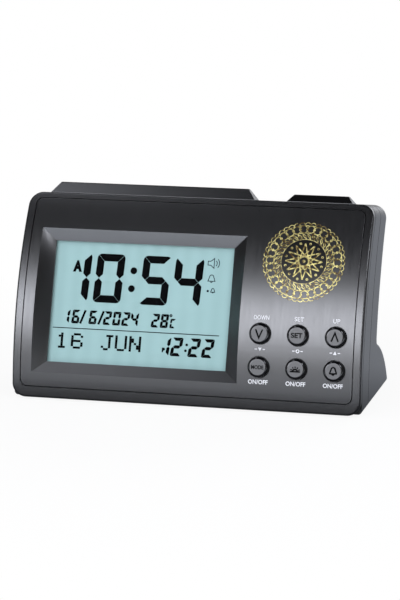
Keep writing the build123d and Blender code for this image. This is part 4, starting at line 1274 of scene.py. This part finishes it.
@dataclass(frozen=True)
class CaseScrews:
    """Pan-head screws in the wells of the back, with a cross recess and a rolled thread."""

    head_radius: float = 2.8
    head_height: float = 2.0
    dome_height: float = 0.75
    shank_radius: float = 1.2
    tip_radius: float = 0.6
    thread_rise: float = 0.25
    thread_pitch: float = 1.1
    thread_flank: float = 0.3
    recess_length: float = 3.0
    recess_width: float = 0.75
    recess_turn: float = 0.4
    recess_ends: tuple[Point, Point] = ((-0.3, 1.1), (1.2, 0.45))
    segments: int = 32

    def spots(self) -> Iterator[tuple[float, float, float, float]]:
        """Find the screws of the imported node.

        Yields:
            Each one's axis in X and Z, and its two ends in Y, in metres.
        """
        points = [vertex.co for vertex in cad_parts["case_screws"].data.vertices]
        middle = sum(point.z for point in points) / len(points)
        for right in (False, True):
            for upper in (False, True):
                own = [p for p in points if (p.x > 0) == right and (p.z > middle) == upper]
                xs, ys, zs = ([p[i] for p in own] for i in range(3))
                yield (min(xs) + max(xs)) / 2, (min(zs) + max(zs)) / 2, min(ys), max(ys)

    def profile(self, length: float) -> list[Point]:
        """Half outline of the head and the threaded shank.

        Args:
            length: Length of the whole screw.

        Returns:
            Radius and depth of each corner.
        """
        # The dome's corners, 15 degrees apart from near its top to near its rim
        angles = [math.radians(90 - 15 * i) for i in range(1, 6)]
        outline = [(0.0, 0.0)] + [
            (self.head_radius * math.cos(a), self.dome_height - self.dome_height * math.sin(a))
            for a in angles]
        outline += [(self.head_radius, self.head_height), (self.shank_radius, self.head_height)]
        flank = self.thread_flank * self.thread_pitch
        for i in range(1, int((length - self.head_height) / self.thread_pitch)):
            depth = self.head_height + i * self.thread_pitch
            outline += [(self.shank_radius, depth - flank),
                        (self.shank_radius + self.thread_rise, depth),
                        (self.shank_radius, depth + flank)]
        return outline + [(self.tip_radius, length), (0.0, length)]

    def head_and_shank(self, mesh: BMesh, x: float, z: float, end: float,
                       back: float) -> None:
        """Turn one screw's outline round its axis.

        Args:
            mesh: Mesh that gets it.
            x: The axis, to the right.
            z: The axis, up.
            end: Y of the tip.
            back: Y of the head's top.
        """
        rings = []
        for radius, depth in self.profile((back - end) / MM):
            count = self.segments if radius else 1
            rings.append([mesh.verts.new((u, back - depth * MM, v))
                          for u, v in circle(radius * MM, count, x, z)])
        skin(mesh, rings)

    def recess(self, x: float, z: float, back: float) -> Piece:
        """Make the tapered cross that is cut from a head.

        Args:
            x: The screw's axis, to the right.
            z: The screw's axis, up.
            back: Y of the head's top.

        Returns:
            The cutter.
        """
        mesh = bmesh.new()
        for turn in (self.recess_turn, self.recess_turn + math.pi / 2):
            rows = []
            for depth, share in self.recess_ends:
                half_l, half_w = self.recess_length / 2 * share, self.recess_width / 2 * share
                corners = turned([(-half_l, -half_w), (half_l, -half_w), (half_l, half_w),
                                  (-half_l, half_w)], turn)
                rows.append([mesh.verts.new((x + u * MM, back - depth * MM, z + v * MM))
                             for u, v in corners])
            mesh.faces.new(rows[0])
            mesh.faces.new(rows[1][::-1])
            skin(mesh, rows)
        return put("recess", outward(mesh, "recess"))

    def build(self) -> list[Piece]:
        """Make the four screws and cut their recesses.

        Returns:
            The screws as one piece.
        """
        mesh = bmesh.new()
        spots = list(self.spots())
        for spot in spots:
            self.head_and_shank(mesh, *spot)
        screws = make_piece(mesh, "case_screws_turned", SCREW_ZINC, HOUSING, smooth=True)
        for x, z, _, back in spots:
            cutter = self.recess(x, z, back)
            cut = screws.modifiers.new("recess", "BOOLEAN")
            cut.object = cutter
            cut.operation = "DIFFERENCE"
            cut.use_self = True
            bpy.context.view_layer.update()
            shape = bpy.data.meshes.new_from_object(
                screws.evaluated_get(bpy.context.evaluated_depsgraph_get()))
            screws.modifiers.clear()
            screws.data = shape
            bpy.data.objects.remove(cutter)
        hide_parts("case_screws")
        return [screws]


@dataclass(frozen=True)
class BayMarks:
    """Raised outlines of the two cells with their poles, on the bay's front wall."""

    cell_middle: float = 27.0
    cell_length: float = 38.0
    cell_height: float = 6.0
    nub: float = 1.2
    pole_inset: float = 3.5
    pole_half: float = 1.5
    stroke: float = 0.5
    height: float = 0.3
    wall_gap: float = 2.85

    def build(self) -> list[Piece]:
        """Make both outlines as one raised layer.

        Returns:
            The one piece.
        """
        low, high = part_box("battery_plate")
        wall = Vector(((low.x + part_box("battery_spring")[1].x) / 2, low.y, (low.z + high.z) / 2))
        seen = FlatPlace(wall, Vector((-1, 0, 0)), Vector((0, 0, 1)), Vector((0, 1, 0)))
        layer = Layer(seen.at, -self.wall_gap, -self.wall_gap + self.height)
        end, half_h, nub, arm = self.cell_length / 2, self.cell_height / 2, self.nub, self.pole_half
        pole = end - self.pole_inset
        for u in (-self.cell_middle, self.cell_middle):
            outline = [(-end, -half_h), (end, -half_h), (end, -nub), (end + nub, -nub),
                       (end + nub, nub), (end, nub), (end, half_h), (-end, half_h)]
            layer.ribbon([(u + x, y) for x, y in outline], self.stroke, closed=True)
            layer.ribbon([(u + pole - arm, 0), (u + pole + arm, 0)], self.stroke)
            layer.ribbon([(u + pole, -arm), (u + pole, arm)], self.stroke)
            layer.ribbon([(u - pole - arm, 0), (u - pole + arm, 0)], self.stroke)
        return [layer.piece("bay_pole_marks", CASE_ABS)]


# ---- Moulded parts ----


@dataclass(frozen=True)
class Mouldings:
    """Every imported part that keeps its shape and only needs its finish."""

    def build(self) -> list[Piece]:
        """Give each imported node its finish.

        Returns:
            All the nodes.
        """
        for name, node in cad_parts.items():
            for slot in node.material_slots:
                slot.material = DRESS[name].material()
        return list(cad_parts.values())


# ---- Studio ----


def bearing(azimuth: float, elevation: float) -> Vector:
    """Give a direction from the clock.

    Args:
        azimuth: Degrees round from its front, towards its right.
        elevation: Degrees up.

    Returns:
        The direction, with a length of 1.
    """
    turn, rise = math.radians(azimuth), math.radians(elevation)
    return Vector((math.sin(turn) * math.cos(rise), -math.cos(turn) * math.cos(rise),
                   math.sin(rise)))


@dataclass(frozen=True)
class Softbox:
    """A rectangular lamp that faces the clock from a direction, with its sizes in metres."""

    name: str
    azimuth: float
    elevation: float
    distance: float
    width: float
    height: float
    power: float
    colour: str = "#F2F5FF"

    def build(self, target: Vector) -> None:
        """Place the lamp.

        Args:
            target: Point that it faces.
        """
        lamp = bpy.data.lights.new(self.name, "AREA")
        lamp.shape = "RECTANGLE"
        lamp.size, lamp.size_y = self.width, self.height
        lamp.energy = self.power
        lamp.color = linear(self.colour)[:3]
        holder = put(self.name, lamp)
        away = bearing(self.azimuth, self.elevation)
        holder.location = target + away * self.distance
        holder.rotation_euler = away.to_track_quat("Z", "Y").to_euler()


@dataclass(frozen=True)
class Studio:
    """Camera, lamps, sky and floor.

    The floor's sizes are in metres. The sky's spans are shares of a direction's length, along
    which its level goes from one value to the next.
    """

    target: tuple[float, float, float] = (3.75, -18.92, 51.7)
    azimuth: float = 13.91
    elevation: float = 11.65
    distance: float = 1276.64
    lens: float = 151.93
    sensor: float = 36.0
    clip: Point = (0.05, 50.0)
    floor_half: float = 8.0
    shadow_share: float = 0.1
    shadow_span: Point = (0.12, 0.32)
    front_mirrored: float = 0.12
    band_depth: float = -0.24
    band_half: float = 0.06
    band_mirrored: float = 6.0
    rear_mirrored: float = 0.58
    rear_span: Point = (-0.04, 0.08)
    mirrored_tint: str = "#EDF3FF"
    front_sky: float = 0.8
    side_sky: float = 0.1
    top_sky: float = 0.015
    even_sky: float = 0.35
    front_sky_span: Point = (-0.9, -0.4)
    rear_sky_span: Point = (-0.1, 0.35)
    top_sky_span: Point = (0.1, 0.75)
    softboxes: tuple[Softbox, ...] = (
        # The long lamp in front draws the broad highlight across the face
        Softbox("front_softbox", -15.0, 21.0, 1.6, 1.4, 0.5, 18.0),
        # The narrow lamp at the right edges the bezel and the keys' shoulders
        Softbox("side_softbox", 47.0, 40.0, 1.5, 0.25, 0.4, 4.5),
        # The small lamp overhead shows on the display's lower slope and on the bars
        Softbox("top_softbox", -70.0, 66.0, 1.2, 0.25, 0.25, 1.0),
        # The lamp behind lights the back
        Softbox("rear_softbox", 150.0, 20.0, 1.6, 1.2, 0.5, 9.0),
    )

    def camera(self) -> None:
        """Place the camera along its direction, level, with no shift."""
        data = bpy.data.cameras.new("camera")
        data.lens = self.lens
        data.sensor_width = self.sensor
        data.sensor_fit = "AUTO"
        data.clip_start, data.clip_end = self.clip
        back = bearing(self.azimuth, self.elevation)
        right = Vector((*polar(1, math.radians(self.azimuth)), 0))
        holder = put("camera", data)
        holder.matrix_world = Matrix((right, back.cross(right), back)).transposed().to_4x4()
        holder.location = (Vector(self.target) + back * self.distance) * MM
        bpy.context.scene.camera = holder

    def rays(self, tree: Tree) -> tuple[Node, Socket]:
        """Tell the rays of the eye from those of light.

        Args:
            tree: Tree that gets the nodes.

        Returns:
            What is 1 for a ray seen straight or through glass, and what is 1 for a mirrored one.
        """
        path = add_node(tree, "LightPath").outputs
        direct = add_node(tree, "Math", {
            0: path["Is Camera Ray"], 1: path["Is Transmission Ray"]}, operation="MAXIMUM")
        return direct, path["Is Glossy Ray"]

    def sky(self) -> None:
        """A pale surround: white to the eye, softer as light, and greyer overhead."""
        world = bpy.data.worlds.new("sky")
        bpy.context.scene.world = world
        tree = empty_tree(world)
        direct, glossy = self.rays(tree)
        way = add_node(tree, "SeparateXYZ", {
            "Vector": add_node(tree, "TexCoord").outputs["Generated"]}).outputs
        levels = []
        for (start, end), before, after in (
                (self.front_sky_span, self.front_sky, self.side_sky),
                (self.rear_sky_span, 0.0, self.rear_mirrored)):
            levels.append(add_node(tree, "MapRange", {
                "Value": way["Y"], "From Min": start, "From Max": end, "To Min": before,
                "To Max": after}))
        level = add_node(tree, "Math", dict(enumerate(levels)), operation="MAXIMUM")
        start, end = self.top_sky_span
        overhead = add_node(tree, "MapRange", {
            "Value": way["Z"], "From Min": start, "From Max": end, "To Min": level,
            "To Max": self.top_sky})
        mirrored = add_node(tree, "Mix", {
            "Factor": glossy, VALUE_A: self.even_sky, VALUE_B: overhead})
        strength = add_node(tree, "Mix", {"Factor": direct, VALUE_A: mirrored, VALUE_B: 1.0})
        light = add_node(tree, "Background", {"Color": linear(WHITE), "Strength": strength})
        add_node(tree, "OutputWorld", {"Surface": light})

    def floor_material(self) -> bpy.types.Material:
        """Matt white for the shadow near the clock, and an even white further out.

        In a mirror image the floor is dark in front of the clock, but for a bright band like a
        lit table's edge, and paler behind it.

        Returns:
            The material.
        """
        made = bpy.data.materials.new("matt_white_sweep")
        tree = empty_tree(made)
        direct, glossy = self.rays(tree)
        where = add_node(tree, "TexCoord").outputs["Object"]
        away = add_node(tree, "VectorMath", {0: where}, operation="LENGTH")
        depth = add_node(tree, "SeparateXYZ", {"Vector": where}).outputs["Y"]
        start, end = self.shadow_span
        keeps = add_node(tree, "MapRange", {
            "Value": away, "From Min": start, "From Max": end,
            "To Min": 1 - self.shadow_share, "To Max": 1.0})
        start, end = self.rear_span
        behind = add_node(tree, "MapRange", {
            "Value": depth, "From Min": start, "From Max": end,
            "To Min": self.front_mirrored, "To Max": self.rear_mirrored})
        band = add_node(tree, "Math", {0: depth, 1: self.band_depth, 2: self.band_half},
                        operation="COMPARE")
        ahead = add_node(tree, "Math", {0: band, 1: self.band_mirrored}, operation="MULTIPLY")
        mirrored = add_node(tree, "Math", {0: behind, 1: ahead}, operation="MAXIMUM")
        kept = add_node(tree, "Math", {0: direct, 1: keeps}, operation="MULTIPLY")
        share = add_node(tree, "Math", {0: kept, 1: glossy}, operation="MAXIMUM")
        strength = add_node(tree, "Mix", {"Factor": glossy, VALUE_A: 1.0, VALUE_B: mirrored})
        tint = add_node(tree, "Mix", {
            "Factor": glossy, COLOUR_A: linear(WHITE), COLOUR_B: linear(self.mirrored_tint)},
            data_type="RGBA")
        matt = add_node(tree, "BsdfDiffuse", {"Color": linear(WHITE)})
        white = add_node(tree, "Emission", {"Color": tint, "Strength": strength})
        mix = add_node(tree, "MixShader", {0: share, 1: matt, 2: white})
        add_node(tree, "OutputMaterial", {"Surface": mix})
        return made

    def floor(self) -> None:
        """Lay the floor."""
        half = self.floor_half
        mesh = bpy.data.meshes.new("floor")
        mesh.from_pydata([(-half, -half, 0), (half, -half, 0), (half, half, 0), (-half, half, 0)],
                         [], [(0, 1, 2, 3)])
        mesh.materials.append(self.floor_material())
        put("floor", mesh)

    def build(self) -> None:
        """Set up the whole studio."""
        bpy.context.scene.view_settings.view_transform = "Standard"
        self.camera()
        self.sky()
        self.floor()
        for softbox in self.softboxes:
            softbox.build(Vector(self.target) * MM)


def main() -> None:
    """Build the studio and every sub-assembly, and report each piece."""
    Studio().build()
    for part in (Mouldings(), Display(), KeyMarks(), FasciaPrint(), Rosette(), CaseScrews(),
                 BayMarks()):
        for piece in part.build():
            log.info("%s: %s", type(part).__name__, piece.name)


if __name__ == "__main__":
    logging.basicConfig(level=logging.INFO, format="%(name)s %(message)s")
    main()
